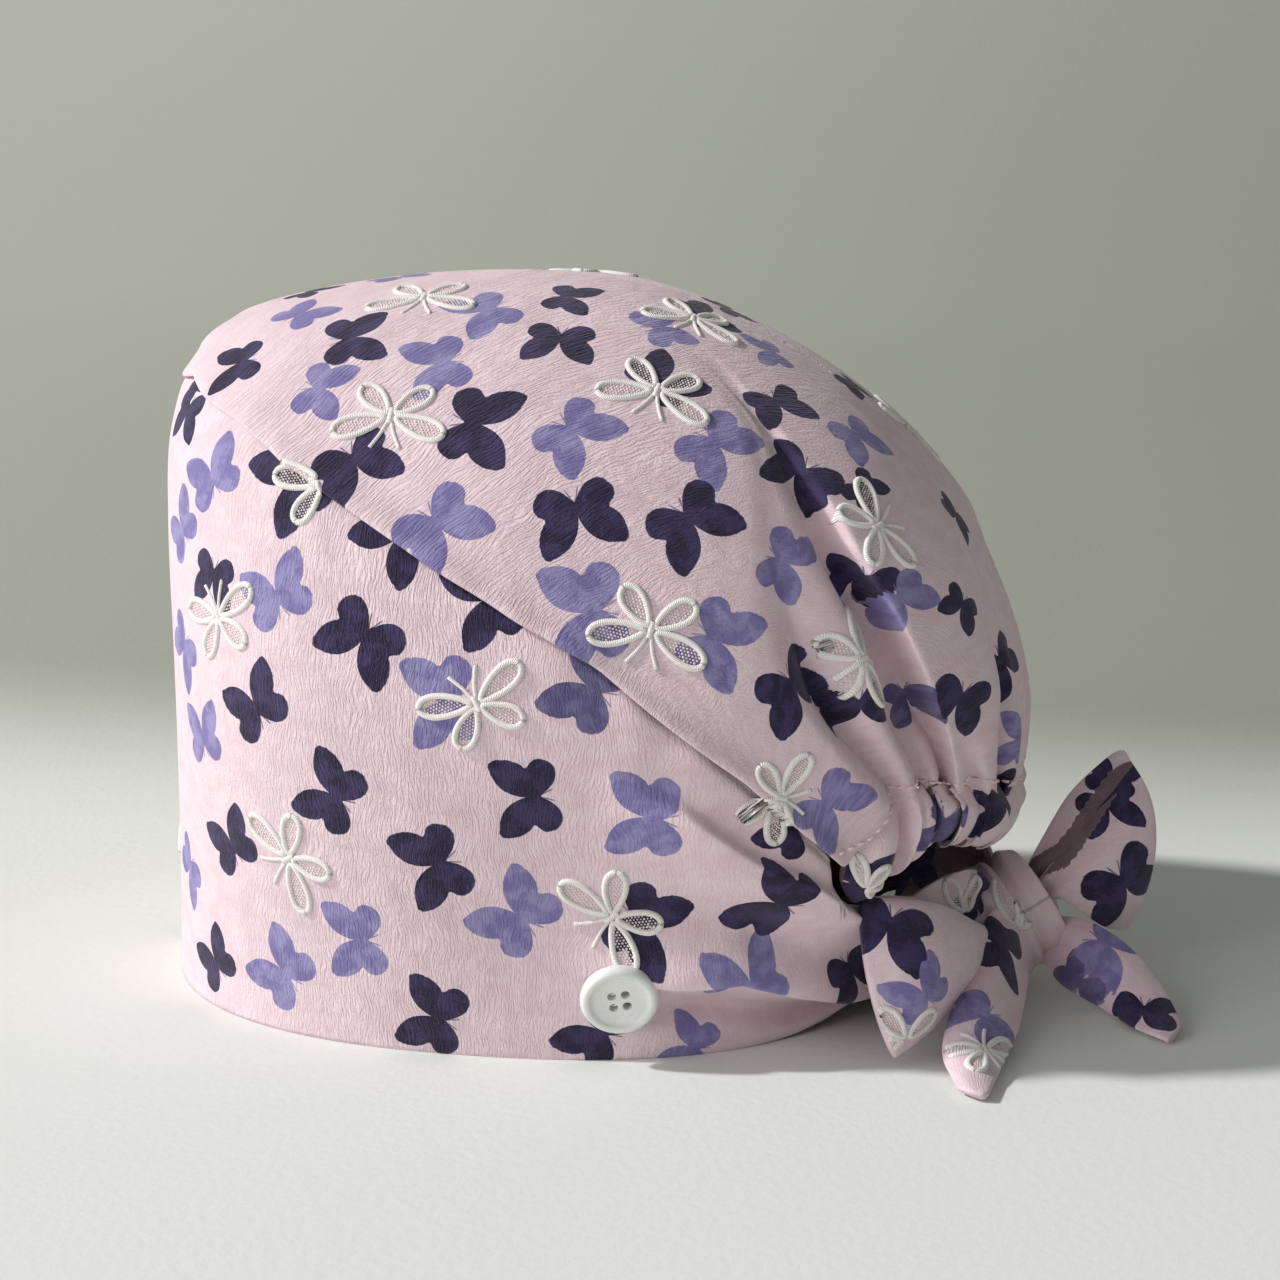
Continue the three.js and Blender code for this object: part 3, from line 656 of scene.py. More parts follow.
@dataclass
class ClothPiece:
    """A piece of printed cloth: its mesh, its plain form for the print, and a tree for casting rays."""

    name: str
    sheet: Sheet
    deep: float = 18.0  # how far a motif reaches through the cloth's curve, in mm
    spots: list[Spot] = field(default_factory=list)

    def __post_init__(self) -> None:
        """Build the mesh of the sheet."""
        sheet = self.sheet
        columns, rows, _ = sheet.points.shape
        ids = np.arange(columns * rows).reshape(columns, rows)
        if sheet.apex:
            ids[:, 0], ids[:, -1] = ids[0, 0], ids[0, -1]
        self.faces = faces_of(ids, sheet.wrap, closed=not sheet.apex)
        used = np.unique(ids)
        renumber = np.zeros(columns * rows, int)
        renumber[used] = np.arange(len(used))
        self.faces = [[int(renumber[v]) for v in face] for face in self.faces]
        self.vertices = to_frame(sheet.points.reshape(-1, 3)[used])
        self.plain = to_frame(sheet.plain.reshape(-1, 3)[used])
        if self.volume() < 0:
            self.faces = [face[::-1] for face in self.faces]
        self.mesh = mesh_of(self.name, self.vertices, self.faces)
        weave = sheet.weave.reshape(-1, 3)[used]
        set_points(self.mesh, "weave", weave)
        side = sheet.inside.reshape(-1)[used]
        set_points(self.mesh, "side", np.stack([side, side, side], -1))
        self.bake_map(ids, renumber)
        self.tree = BVHTree.FromPolygons([Vector(v) for v in self.vertices], self.faces)

    def volume(self) -> float:
        """Measure the mesh, to tell which way its faces point.

        Returns:
            Six times its signed volume.
        """
        fans = [(f[0], f[k], f[k + 1]) for f in self.faces for k in range(1, len(f) - 1)]
        a, b, c = (self.vertices[list(corner)] for corner in zip(*fans))
        return float(np.sum(a * np.cross(b, c)))

    def unrolled(self, values: Points, face: NDArray[np.int64], period: int) -> Points:
        """Let a face that straddles the grid's seam run on past it.

        Args:
            values: column or row numbers of the face corners.
            face: the face of each corner.
            period: how many columns or rows there are.

        Returns:
            The numbers, raised by the period where the face straddles the seam.
        """
        low = np.full(len(self.faces), np.inf)
        high = np.full(len(self.faces), -np.inf)
        np.minimum.at(low, face, values)
        np.maximum.at(high, face, values)
        return np.where((high - low > period / 2)[face] & (values < period / 2), values + period, values)

    def bake_map(self, ids: NDArray[np.int64], renumber: NDArray[np.int64]) -> None:
        """Give the mesh a flat map that follows its columns and rows.

        Args:
            ids: vertex numbers of the grid.
            renumber: new number of each used vertex.
        """
        columns, rows = ids.shape
        column_of, row_of = np.zeros(len(self.vertices)), np.zeros(len(self.vertices))
        grid_column, grid_row = np.meshgrid(np.arange(columns), np.arange(rows), indexing="ij")
        column_of[renumber[ids]] = grid_column
        row_of[renumber[ids]] = grid_row
        vertex, face = corner_data(self.mesh)
        u = self.unrolled(column_of[vertex], face, columns)
        v = self.unrolled(row_of[vertex], face, rows)
        layer = self.mesh.uv_layers.new(name="OFBake")
        flat = np.stack([0.01 + 0.98 * u / (columns + 1), 0.01 + 0.98 * v / (rows + 1)], -1)
        layer.data.foreach_set("uv", flat.astype(np.float32).ravel())

    def print_spots(self) -> None:
        """Store, at each face corner, its place inside the two butterflies nearest to the face."""
        vertex, face = corner_data(self.mesh)
        counts = np.bincount(face, minlength=len(self.faces))
        centres = np.zeros((len(self.faces), 3))
        np.add.at(centres, face, self.plain[vertex])
        centres /= counts[:, None]
        reach = np.full((len(self.spots) + 2, len(self.faces)), NO_MOTIF)
        for k, spot in enumerate(self.spots):
            away = centres - spot.centre
            flat = np.linalg.norm(away, axis=1) / (spot.reach * MM)
            reach[k] = np.where(np.abs(away @ spot.outward) < self.deep * MM, flat, NO_MOTIF)
        order = np.argsort(reach, axis=0)[:2]
        for name, chosen in zip(("print", "print_under"), order):
            place = np.full((len(vertex), 3), NO_MOTIF)
            for k, spot in enumerate(self.spots):
                at = np.nonzero(chosen[face] == k)[0]
                away = self.plain[vertex[at]] - spot.centre
                place[at, 0] = away @ spot.across / (spot.reach * MM)
                place[at, 1] = away @ spot.ahead / (spot.reach * MM)
                place[at, 2] = spot.tone
            layer = self.mesh.attributes.new(name, "FLOAT_VECTOR", "CORNER")
            layer.data.foreach_set("vector", place.astype(np.float32).ravel())


def sheet_of(
    outer: Points, inner: Points, plain: Points, weave: Points, wrap: bool, apex: bool, bulge: float
) -> Sheet:
    """Close an outer and an inner face into one sheet with rounded edges.

    Args:
        outer: the outer face, columns by rows by 3.
        inner: the inner face.
        plain: the outer face before its folds.
        weave: the weave coordinates of the outer face.
        wrap: whether the last column joins the first.
        apex: whether the last row is a single point.
        bulge: how far the rounded edge stands past the faces, in mm.

    Returns:
        The sheet, its rows running round the closed section.
    """
    foot_way = unit(outer[:, 0] - outer[:, 1])
    foot = rim(inner[:, 0], outer[:, 0], (outer[:, 0] + inner[:, 0]) / 2 + bulge * foot_way)
    chains = [foot[:, 1:], outer]
    halves = [foot.shape[1] - 1, outer.shape[1]]
    if not apex:
        head_way = unit(outer[:, -1] - outer[:, -2])
        head = rim(outer[:, -1], inner[:, -1], (outer[:, -1] + inner[:, -1]) / 2 + bulge * head_way)
        chains += [head, inner[:, ::-1], foot[:, :1]]
        halves += [head.shape[1], inner.shape[1], 1]
        points = np.concatenate(chains, axis=1)
        ends = [0] * halves[0] + list(range(outer.shape[1])) + [outer.shape[1] - 1] * halves[2]
        ends += list(range(outer.shape[1]))[::-1] + [0]
        inside = [0.0] * (halves[0] + halves[1]) + [0.5] * halves[2] + [1.0] * halves[3] + [0.5]
    else:
        points = np.concatenate([outer[:, ::-1], foot[:, ::-1], inner], axis=1)
        ends = list(range(outer.shape[1]))[::-1] + [0] * foot.shape[1] + list(range(inner.shape[1]))
        inside = [0.0] * outer.shape[1] + [0.5] * foot.shape[1] + [1.0] * inner.shape[1]
    if points.shape[1] % 2 and not apex:
        points = np.delete(points, 0, axis=1)
        ends, inside = ends[1:], inside[1:]
    sides = np.broadcast_to(np.array(inside), points.shape[:2])
    return Sheet(points, plain[:, ends], weave[:, ends], sides, wrap, apex)


@dataclass(frozen=True)
class CapShell:
    """The three cloth pieces of the cap: the band, the crown and the casing.

    A casing lobe has the angle of its middle and half its width, both in degrees.
    """

    band_wall: float = 2.0
    crown_wall: float = 1.6
    band_end: float = 158.0
    casing_end: float = 144.9
    crease: float = 2.0  # how deep the gathers are drawn in just above the casing
    lap: float = 1.3  # how far the crown's folded edge lies over the band, in mm
    seam_sink: float = 1.9  # how far the band lies in under the crown's edge, in mm
    seam_width: float = 2.6
    lap_rise: float = 2.3  # how far the crown's edge stands out over the band, in mm
    lap_width: float = 5.0
    groove_width: float = 2.2  # of the groove between the crown and the casing, in mm
    band_weave: float = 93.0  # mm of cloth round the band for each radian
    crown_weave: float = 110.0
    casing_weave: float = 150.0
    casing_columns: int = 330
    casing_ring: int = 40
    smoothings: int = 2  # passes that ease the gathers along each row
    apart: float = 31.0  # mm between two scattered motifs
    arc_centre: tuple[float, float, float] = (90.0, 85.0, 55.0)  # the crown's crinkles run round it
    casing_lobes: tuple[tuple[float, float], ...] = (
        (147.8, 3.2), (151.75, 0.95), (153.3, 0.85), (154.9, 0.95), (158.4, 2.7), (162.7, 1.8),
        (166.5, 2.1), (170.6, 2.2), (175.3, 2.7), (180.0, 2.3),
    )
    gathers: Gathers = field(default_factory=Gathers)

    def build(self, chart: "Chart", finish: bpy.types.Material) -> dict[str, ClothPiece]:
        """Make, print and dress the three pieces.

        Args:
            chart: places the print.
            finish: the printed cloth.

        Returns:
            The pieces by the CAD node that each stands for.
        """
        pieces = {
            "front_band": ClothPiece("band_cloth", self.band()),
            "crown_panel": ClothPiece("crown_cloth", self.crown()),
            "back_casing": ClothPiece("casing_cloth", self.casing()),
        }
        for node, piece in pieces.items():
            chart.by_pixels(piece, CAP_MOTIFS[node])
            chart.by_chance(piece, SEEDS[node], self.apart, hidden_side)
            piece.print_spots()
            add_piece(piece.name, piece.mesh, finish, [node])
        return pieces

    def columns(self, end: float, coarse: float, fine: float, from_angle: float) -> Points:
        """Choose the columns' angles.

        Args:
            end: the last angle; the first is its negative.
            coarse: degrees between two columns in front.
            fine: degrees between two columns at the back.
            from_angle: where the fine columns begin.

        Returns:
            The angles, in degrees from the front.
        """
        side = [0.0]
        while side[-1] < end:
            blend = float(smooth(np.array(side[-1]), from_angle - 10, from_angle))
            side.append(side[-1] + coarse + (fine - coarse) * blend)
        half = np.array(side) * end / side[-1]
        return np.concatenate([-half[:0:-1], half])

    def move(self, plain: Points, out: Points, slide: Points, down: Points) -> Points:
        """Move places on the plain form.

        Args:
            plain: the places.
            out: how far each moves away from the head's axis, in mm.
            slide: how far it moves round the cap, in mm.
            down: what is added to its height, in mm.

        Returns:
            The moved places.
        """
        flat = plain[..., :2]
        away = flat / np.maximum(np.linalg.norm(flat, axis=-1, keepdims=True), 1e-3)
        sideways = np.stack([-away[..., 1], away[..., 0]], axis=-1)
        moved = plain.copy()
        moved[..., :2] += away * out[..., None] + sideways * slide[..., None]
        moved[..., 2] += down
        return moved

    def inner_face(self, outer: Points, wall: float | Points, wrap: bool, apex: bool) -> Points:
        """Find the face inside a wall of cloth.

        Args:
            outer: the outer face, columns by rows by 3.
            wall: the cloth's thickness.
            wrap: whether the last column joins the first.
            apex: whether the last row is a single point.

        Returns:
            The inner face.
        """
        normal = grid_normals(outer, wrap)
        flat = outer[..., :2] / np.maximum(np.linalg.norm(outer[..., :2], axis=-1, keepdims=True), 1e-3)
        sign = np.sign(np.mean(np.sum(normal[..., :2] * flat, axis=-1)))
        inner = outer - wall * sign * normal
        if apex:
            inner[:, -1] = outer[:, -1] - np.array([0.0, 0.0, self.crown_wall])
        return inner

    def band(self) -> Sheet:
        """The deep band in front and at the sides, with the tuck ahead of each tie.

        Returns:
            The band's sheet.
        """
        angles = self.columns(self.band_end, 1.3, 0.6, 105.0)
        shares = np.concatenate([np.linspace(0, 0.35, 46), np.linspace(0.35, 1.0, 64)[1:]])
        low = FORM.row_at(angles, edge_height(BAND_HEM, angles))
        low = np.where(edge_height(BAND_HEM, angles) > 0, low, 0.0)
        high = FORM.row_at(angles, edge_height(BAND_TOP, angles))
        t = low[:, None] + (high - low)[:, None] * shares
        phi = np.broadcast_to(angles[:, None], t.shape)
        plain = FORM.points(phi, t)
        z = plain[..., 2]
        out, down = folded(phi, z, BAND_FOLDS)
        seam = edge_height(BAND_TOP, angles)[:, None] - z
        hem = z - edge_height(BAND_HEM, angles)[:, None]
        calm = smooth(hem, 0.0, 14.0)
        pucker = np.sin(np.radians(phi) * 23 + 3 * np.sin(np.radians(phi) * 6))
        pucker *= 0.7 * np.exp(-seam / 9.0) * smooth(np.abs(phi), 14, 30)
        out = out * smooth(hem, 0.5, 5.0) + ripple(phi, z, 0.9, 1.0) * calm + pucker
        sunk = self.seam_sink * np.exp(-((seam / self.seam_width) ** 2))
        out -= sunk * (0.4 + 0.6 * smooth(np.abs(phi), 12, 22))
        down = down * smooth(hem, 3.0, 9.0)
        outer = self.move(plain, out, np.zeros_like(out), down)
        inner = self.inner_face(outer, self.band_wall, wrap=False, apex=False)
        inner[..., 2] = np.maximum(inner[..., 2], 0.0)
        around = np.radians(phi) * self.band_weave
        crinkle = 0.35 + 0.65 * np.exp(-(((np.abs(phi) - 82) / 32) ** 2))
        crinkle *= 1 - 0.55 * smooth(np.abs(phi), 118, 140)
        weave = np.stack([around, z, crinkle], axis=-1)
        sheet = sheet_of(outer, inner, plain, weave, wrap=False, apex=False, bulge=0.9)
        sheet.points[..., 2] = np.maximum(sheet.points[..., 2], 0.0)
        return sheet

    def crown_foot(self, phi: Points) -> Points:
        """Height of the crown's lower edge: lapped over the band, then along the casing."""
        seam = edge_height(BAND_TOP, phi) - self.lap
        return np.where(np.abs(phi) < CROWN_FOOT[0].phi, seam, edge_height(CROWN_FOOT, phi) - 0.2)

    def crown(self) -> Sheet:
        """The gathered crown.

        Returns:
            The crown's sheet.
        """
        angles = self.columns(180.0, 1.6, 0.42, 130.0)[1:]
        shares = np.concatenate([np.linspace(0, 0.5, 71), np.linspace(0.5, 1.0, 36)[1:]])
        low = FORM.row_at(angles, self.crown_foot(angles))
        t = low[:, None] + (FORM.top - low)[:, None] * shares
        phi = np.broadcast_to(angles[:, None], t.shape)
        plain = FORM.points(phi, t)
        z = plain[..., 2]
        rise = z - self.crown_foot(angles)[:, None]
        drawn, out = self.gathers.placed(phi, z, plain)
        out += folded(phi, z, FRONT_PLEAT)[0]
        back = smooth(np.abs(phi), 142.0, 148.0)
        groove = np.exp(-((rise / self.groove_width) ** 2))
        lobes = self.lobe(np.degrees(np.arctan2(drawn[..., 0], -drawn[..., 1])))
        out -= back * groove * (1.6 - 1.0 * lobes)
        behind = smooth(np.abs(phi), 162.0, 168.0)
        out -= back * (self.crease + 3.5 * behind) * (1 - lobes) * np.exp(-rise / (9.0 + 34.0 * behind))
        lapped = (1 - back) * np.exp(-((rise / self.lap_width) ** 2))
        lapped = lapped * (0.1 + self.lap_rise * smooth(np.abs(phi), 8, 24))
        height = 1 - smooth(t, 6.5, FORM.top)
        out += lapped + ripple(phi, z, 0.8, 2.3) * smooth(rise, 2, 14) * height
        pucker = np.sin(np.radians(phi) * 27 + 2 * np.sin(np.radians(phi) * 7))
        out += (1 - back) * 0.35 * pucker * np.exp(-rise / 7.0) * smooth(np.abs(phi), 14, 30)
        outer = self.move(drawn, out * height, np.zeros_like(out), np.zeros_like(out))
        outer[:, -1] = plain[:, -1]
        gathered = smooth(np.abs(phi), 130.0, 142.0)[..., None]
        for _ in range(self.smoothings):
            eased = (np.roll(outer, 1, 0) + 2 * outer + np.roll(outer, -1, 0)) / 4
            outer += (eased - outer) * gathered
        inner = self.inner_face(outer, self.crown_wall - 0.7 * gathered, wrap=True, apex=True)
        mirrored = np.concatenate([np.abs(plain[..., :1]), plain[..., 1:]], axis=-1)
        away = mirrored - self.arc_centre
        reach = np.linalg.norm(away, axis=-1)
        turn = np.arctan2(away[..., 2], -away[..., 1])
        crinkle = 1.0 - 0.7 * smooth(np.abs(phi), 122, 140) * (1 - smooth(z, 150, 185))
        crinkle *= 0.45 + 0.55 * smooth(np.abs(phi), 25, 60)
        weave = np.stack([reach, turn * self.crown_weave, crinkle], axis=-1)
        return sheet_of(outer, inner, plain, weave, wrap=True, apex=True, bulge=0.7)

    def lobe(self, phi: Points) -> Points:
        """How full the gathered casing is.

        Args:
            phi: angles from the front, in degrees.

        Returns:
            A share from 0 in a crease to 1 on a lobe.
        """
        full = np.zeros_like(phi)
        for middle, half in self.casing_lobes:
            for side in (1, -1):
                share = wrapped(side * phi - middle) / half
                full = np.maximum(full, np.sqrt(np.clip(1 - share**2, 0, 1)))
        return full

    def casing(self) -> Sheet:
        """The gathered tunnel over the elastic, along the back opening.

        Returns:
            The casing's sheet.
        """
        angles = np.linspace(self.casing_end, 360 - self.casing_end, self.casing_columns)
        folded_angle = wrapped(angles)
        ring = np.linspace(0, 2 * math.pi, self.casing_ring + 1)[:-1] + math.pi / self.casing_ring
        full = self.lobe(folded_angle)
        foot = edge_height(CASING_FOOT, folded_angle) - 2.2 * full + 2.4 * (1 - full)
        head = edge_height(CROWN_FOOT, folded_angle) + 0.6
        middle, half = (foot + head) / 2, (head - foot) / 2
        raise_by = np.sign(np.sin(ring)) * np.abs(np.sin(ring)) ** 0.85
        height = middle[:, None] + half[:, None] * raise_by
        phi = np.broadcast_to(folded_angle[:, None], height.shape)
        plain = FORM.points(phi, FORM.row_at(phi, height))
        outward = np.cos(ring)[None, :]
        drawn, lift = self.gathers.placed(phi, height, plain)
        swell = np.where(outward > 0, -0.8 + 5.8 * full[:, None], 2.6) * outward
        tight = np.clip((head[:, None] - height) / 6.0, 0, 1)
        out = 0.6 * lift - 1.5 + swell * (0.35 + 0.65 * tight)
        moved = self.move(drawn, out, np.zeros_like(out), np.zeros_like(out))
        around = np.radians(np.broadcast_to(angles[:, None], height.shape)) * self.casing_weave
        weave = np.stack([around, height, np.full_like(height, 0.3)], axis=-1)
        # the casing's inner faces take the cloth's painted inside shade
        inside = np.broadcast_to((outward < -0.2).astype(float), height.shape)
        return Sheet(moved, plain, weave, inside, wrap=False, apex=False)


class StripRow(NamedTuple):
    """A section of a cloth strip: its near edge a, its middle m and its far edge b, in mm."""

    ax: float
    ay: float
    az: float
    mx: float
    my: float
    mz: float
    bx: float
    by: float
    bz: float


LOOP_LEFT = (
    StripRow(60, 101, 43, 71, 105, 23, 72, 112, 2.5),
    StripRow(54, 112, 41.5, 66, 118, 27, 61, 121, 8),
    StripRow(45, 122, 37, 49, 128, 25, 44, 128, 13),
    StripRow(25, 132, 25, 26, 134, 20, 23, 135, 15),
    StripRow(6, 138, 22, 6, 138, 19, 6, 138, 16),
)
LOOP_RIGHT = (
    StripRow(-12, 172, 63, -3, 181, 42, -6, 175, 12),
    StripRow(-8, 167, 59, 3, 172, 40, 3, 166, 19),
    StripRow(-2, 158, 51, 7, 160, 39, 6, 157, 27),
    StripRow(3, 150, 39, 6, 152, 35, 6, 152, 29.5),
    StripRow(2, 144, 30, 2, 144, 27, 2, 144, 24),
)
TAIL_LEFT = (
    StripRow(6, 139, 26, 6, 142, 20, 6, 144, 14),
    StripRow(22, 135, 27, 27, 140, 22, 21, 146, 10),
    StripRow(34, 132, 22, 42, 138, 17, 34, 146, 8),
    StripRow(50, 128, 13, 60, 136, 11, 52, 145, 4.5),
    StripRow(72, 126, 5, 80, 134, 5, 72, 142, 2),
    StripRow(90, 131, 2, 94, 136.5, 2.2, 93, 139.5, 1.6),
)
TAIL_RIGHT = (
    StripRow(2, 144, 20, 2, 144, 16, 3, 143, 12),
    StripRow(7, 158, 22, 12, 155, 16, 10, 151, 8),
    StripRow(13, 167, 21, 20, 162, 14, 14, 156, 4),
    StripRow(18, 176, 16, 26, 171, 10, 22, 166, 1.6),
    StripRow(24, 184, 8, 31, 181, 5, 36, 175, 1.6),
    StripRow(35, 189, 2, 41, 188, 2, 46, 185.5, 1.6),
)
TIE_LEFT = (
    StripRow(42.5, 107.5, 31, 41, 105.5, 19, 40, 103, 8),
    StripRow(35, 116, 37, 34, 115, 25, 33, 113, 13),
    StripRow(26, 124, 39.5, 26, 124, 27, 25, 122, 14),
    StripRow(15, 131, 37, 16, 132, 27, 15, 131, 17),
    StripRow(5, 137, 26, 5, 137, 23, 5, 137, 20),
)
TIE_RIGHT = tuple(row._replace(ax=-row.ax, mx=-row.mx, bx=-row.bx) for row in TIE_LEFT)


@dataclass(frozen=True)
class Strip:
    """A strip of folded cloth that lies along sections, or, as a loop, there and back.

    open_by is half the space between a loop's two layers, and away the way that it opens.
    """

    rows: tuple[StripRow, ...]
    pleats: float
    pleat_high: float
    knot_at: float
    open_by: float = 0.0
    away: tuple[float, float, float] = (0.0, 0.0, 0.0)
    wall: float = 2.2
    along: int = 90
    across: int = 40
    layer_gap: float = 0.3  # mm between a loop's layers where it is closed, from their middle
    least_height: float = 0.12  # mm above the floor

    def surface(self, u: Points, v: Points) -> Points:
        """Places on the middle of the strip.

        Args:
            u: shares along it.
            v: shares across it.

        Returns:
            Points in the cap's millimetres.
        """
        looped = self.open_by > 0
        side = 2 * u - 1
        reach = np.abs(side) if looped else u
        table = np.array(self.rows, float)
        row = through(table, reach * (len(table) - 1))
        a, m, b = row[..., 0:3], row[..., 3:6], row[..., 6:9]
        v = v[..., None]
        middle = a * (1 - v) * (1 - 2 * v) + m * 4 * v * (1 - v) + b * v * (2 * v - 1)
        if looped:
            arch = self.open_by * np.sqrt(reach) * (1 - reach) ** 0.6 * 1.4
            half = arch + (self.wall / 2 + self.layer_gap) * reach
            push = half * np.sign(side) + self.open_by * 0.8 * (1 - reach)
            middle = middle + unit(np.array(self.away)) * push[..., None]
        return middle

    def sheet(self) -> Sheet:
        """The strip as a flat tube with rounded edges and pleats that run into the knot.

        Returns:
            The strip's sheet.
        """
        looped = self.open_by > 0
        u = np.linspace(0, 1, (2 if looped else 1) * self.along)
        ring = np.linspace(0, 2 * math.pi, 2 * self.across + 1)[:-1] + math.pi / (2 * self.across)
        v = 0.5 + 0.5 * np.sign(np.cos(ring)) * np.abs(np.cos(ring)) ** 0.8
        uu, vv = np.meshgrid(u, v, indexing="ij")
        step = 0.004
        ahead = self.surface(np.clip(uu + step, 0, 1), vv) - self.surface(np.clip(uu - step, 0, 1), vv)
        inner_v = np.clip(vv, 0.02, 0.98)
        over = self.surface(uu, inner_v + 0.015) - self.surface(uu, inner_v - 0.015)
        normal = unit(np.cross(ahead, over))
        near_knot = np.abs(2 * uu - 1) if looped else np.abs(1 - self.knot_at - uu)
        near_knot = smooth(near_knot, 0.25, 1.0)
        pleat = self.pleat_high * near_knot * np.cos(2 * math.pi * self.pleats * vv + 1.1)
        pleat *= np.sin(math.pi * vv) ** 0.5
        round_off = np.sin(ring)[None, :]
        thick = self.wall / 2 * np.sign(round_off) * np.abs(round_off) ** 0.5
        middle = self.surface(uu, vv)
        points = middle + normal * (pleat + thick)[..., None]
        points[..., 2] = np.maximum(points[..., 2], self.least_height)
        length = np.linalg.norm(np.diff(self.surface(u, np.full_like(u, 0.5)), axis=0), axis=1)
        run = np.concatenate([[0.0], np.cumsum(length)])
        width = float(np.linalg.norm(np.diff(self.surface(np.full(2, 0.4), np.array([0.0, 1.0])), axis=0)))
        weave = np.stack(
            [vv * width, np.broadcast_to(run[:, None], uu.shape), np.full_like(uu, 0.4)], axis=-1
        )
        inside = np.zeros_like(uu)
        if looped:
            # the faces between a loop's layers take the cloth's painted inside shade
            inner = np.sign(np.sum(normal * unit(np.array(self.away)), axis=-1) * (0.5 - uu))
            inside = (inner * round_off > 0.3) * smooth(vv, 0.04, 0.1) * (1 - smooth(vv, 0.9, 0.96))
        return Sheet(points, middle, weave, inside, wrap=False, apex=False)


KNOT_CENTRE = np.array([2.0, 141.0, 20.0])
KNOT_RADII = np.array([15.0, 14.0, 17.0])


@dataclass(frozen=True)
class PhotoView:
    """The camera, as the photograph was taken: where it stands and what a pixel looks at."""

    azimuth: float = 100.0
    elevation: float = 14.0
    distance: float = 0.85
    focal: float = 2941.0  # in pixels of the photograph
    frame_size: float = 1280.0
    target: tuple[float, float, float] = (0.0, -0.0115, 0.0965)
    sensor: float = 36.0

    def axes(self) -> tuple[Points, Points, Points]:
        """The camera's directions.

        Returns:
            Unit vectors back to the camera, to its right and up.
        """
        a, e = math.radians(self.azimuth), math.radians(self.elevation)
        back = np.array([math.sin(a) * math.cos(e), -math.cos(a) * math.cos(e), math.sin(e)])
        right = np.array([math.cos(a), math.sin(a), 0.0])
        return back, right, np.cross(back, right)

    def eye(self) -> Points:
        """Where the camera stands, in metres."""
        return np.array(self.target) + self.axes()[0] * self.distance

    def ray(self, x: float, y: float) -> Points:
        """The direction in which a pixel looks.

        Args:
            x: the photograph's column.
            y: its row.

        Returns:
            A unit vector away from the camera.
        """
        back, right, up = self.axes()
        half = self.frame_size / 2
        return unit(-back + right * (x - half) / self.focal + up * (half - y) / self.focal)

    def place_camera(self) -> None:
        """Make the scene's camera."""
        data = bpy.data.cameras.new("camera")
        data.sensor_width = self.sensor
        data.lens = self.focal / self.frame_size * self.sensor
        data.clip_start, data.clip_end = 0.02, 20.0
        camera = bpy.data.objects.new("camera", data)
        camera.location = self.eye()
        camera.rotation_mode = "QUATERNION"
        camera.rotation_quaternion = Vector(-self.axes()[0]).to_track_quat("-Z", "Y")
        bpy.context.scene.collection.objects.link(camera)
        bpy.context.scene.camera = camera


VIEW = PhotoView()


class Motif(NamedTuple):
    """A butterfly seen in the photograph: its pixel, the way it points, and its size and ink."""

    x: float
    y: float
    turn: float
    size: float
    tone: Tone


D, P, L = Tone.DARK, Tone.PLUM, Tone.LAVENDER

BAND_MOTIFS = (
    Motif(213, 577, 190, 0.85, D), Motif(212, 477, 345, 0.95, L), Motif(277, 596, 340, 1.0, L),
    Motif(256, 707, 330, 1.0, D), Motif(203, 736, 350, 0.95, L), Motif(232, 845, 335, 0.95, D),
    Motif(334, 796, 302, 1.0, D), Motif(359, 940, 269, 1.0, L), Motif(437, 864, 250, 1.05, D),
    Motif(284, 972, 314, 1.05, L), Motif(216, 962, 335, 0.9, D), Motif(437, 1018, 288, 1.0, D),
    Motif(364, 637, 214, 1.05, D), Motif(401, 535, 225, 1.0, D), Motif(489, 598, 250, 1.05, D),
    Motif(446, 700, 262, 1.1, L), Motif(531, 797, 264, 1.0, D), Motif(592, 688, 300, 1.1, P),
    Motif(651, 818, 274, 1.05, L), Motif(520, 917, 308, 1.1, L), Motif(641, 922, 118, 1.05, D),
    Motif(600, 1031, 300, 1.0, D), Motif(751, 986, 350, 1.0, L), Motif(780, 904, 290, 1.0, D),
    Motif(702, 742, 110, 0.95, D), Motif(792, 826, 300, 0.85, D), Motif(693, 1047, 290, 0.8, L),
    Motif(851, 970, 170, 0.8, D), Motif(182, 529, 340, 0.9, L), Motif(184, 646, 200, 0.95, L),
    Motif(190, 866, 200, 0.9, L), Motif(187, 412, 200, 0.8, D),
    Motif(205, 374, 60, 0.8, D), Motif(297, 478, 240, 1.15, D),
)
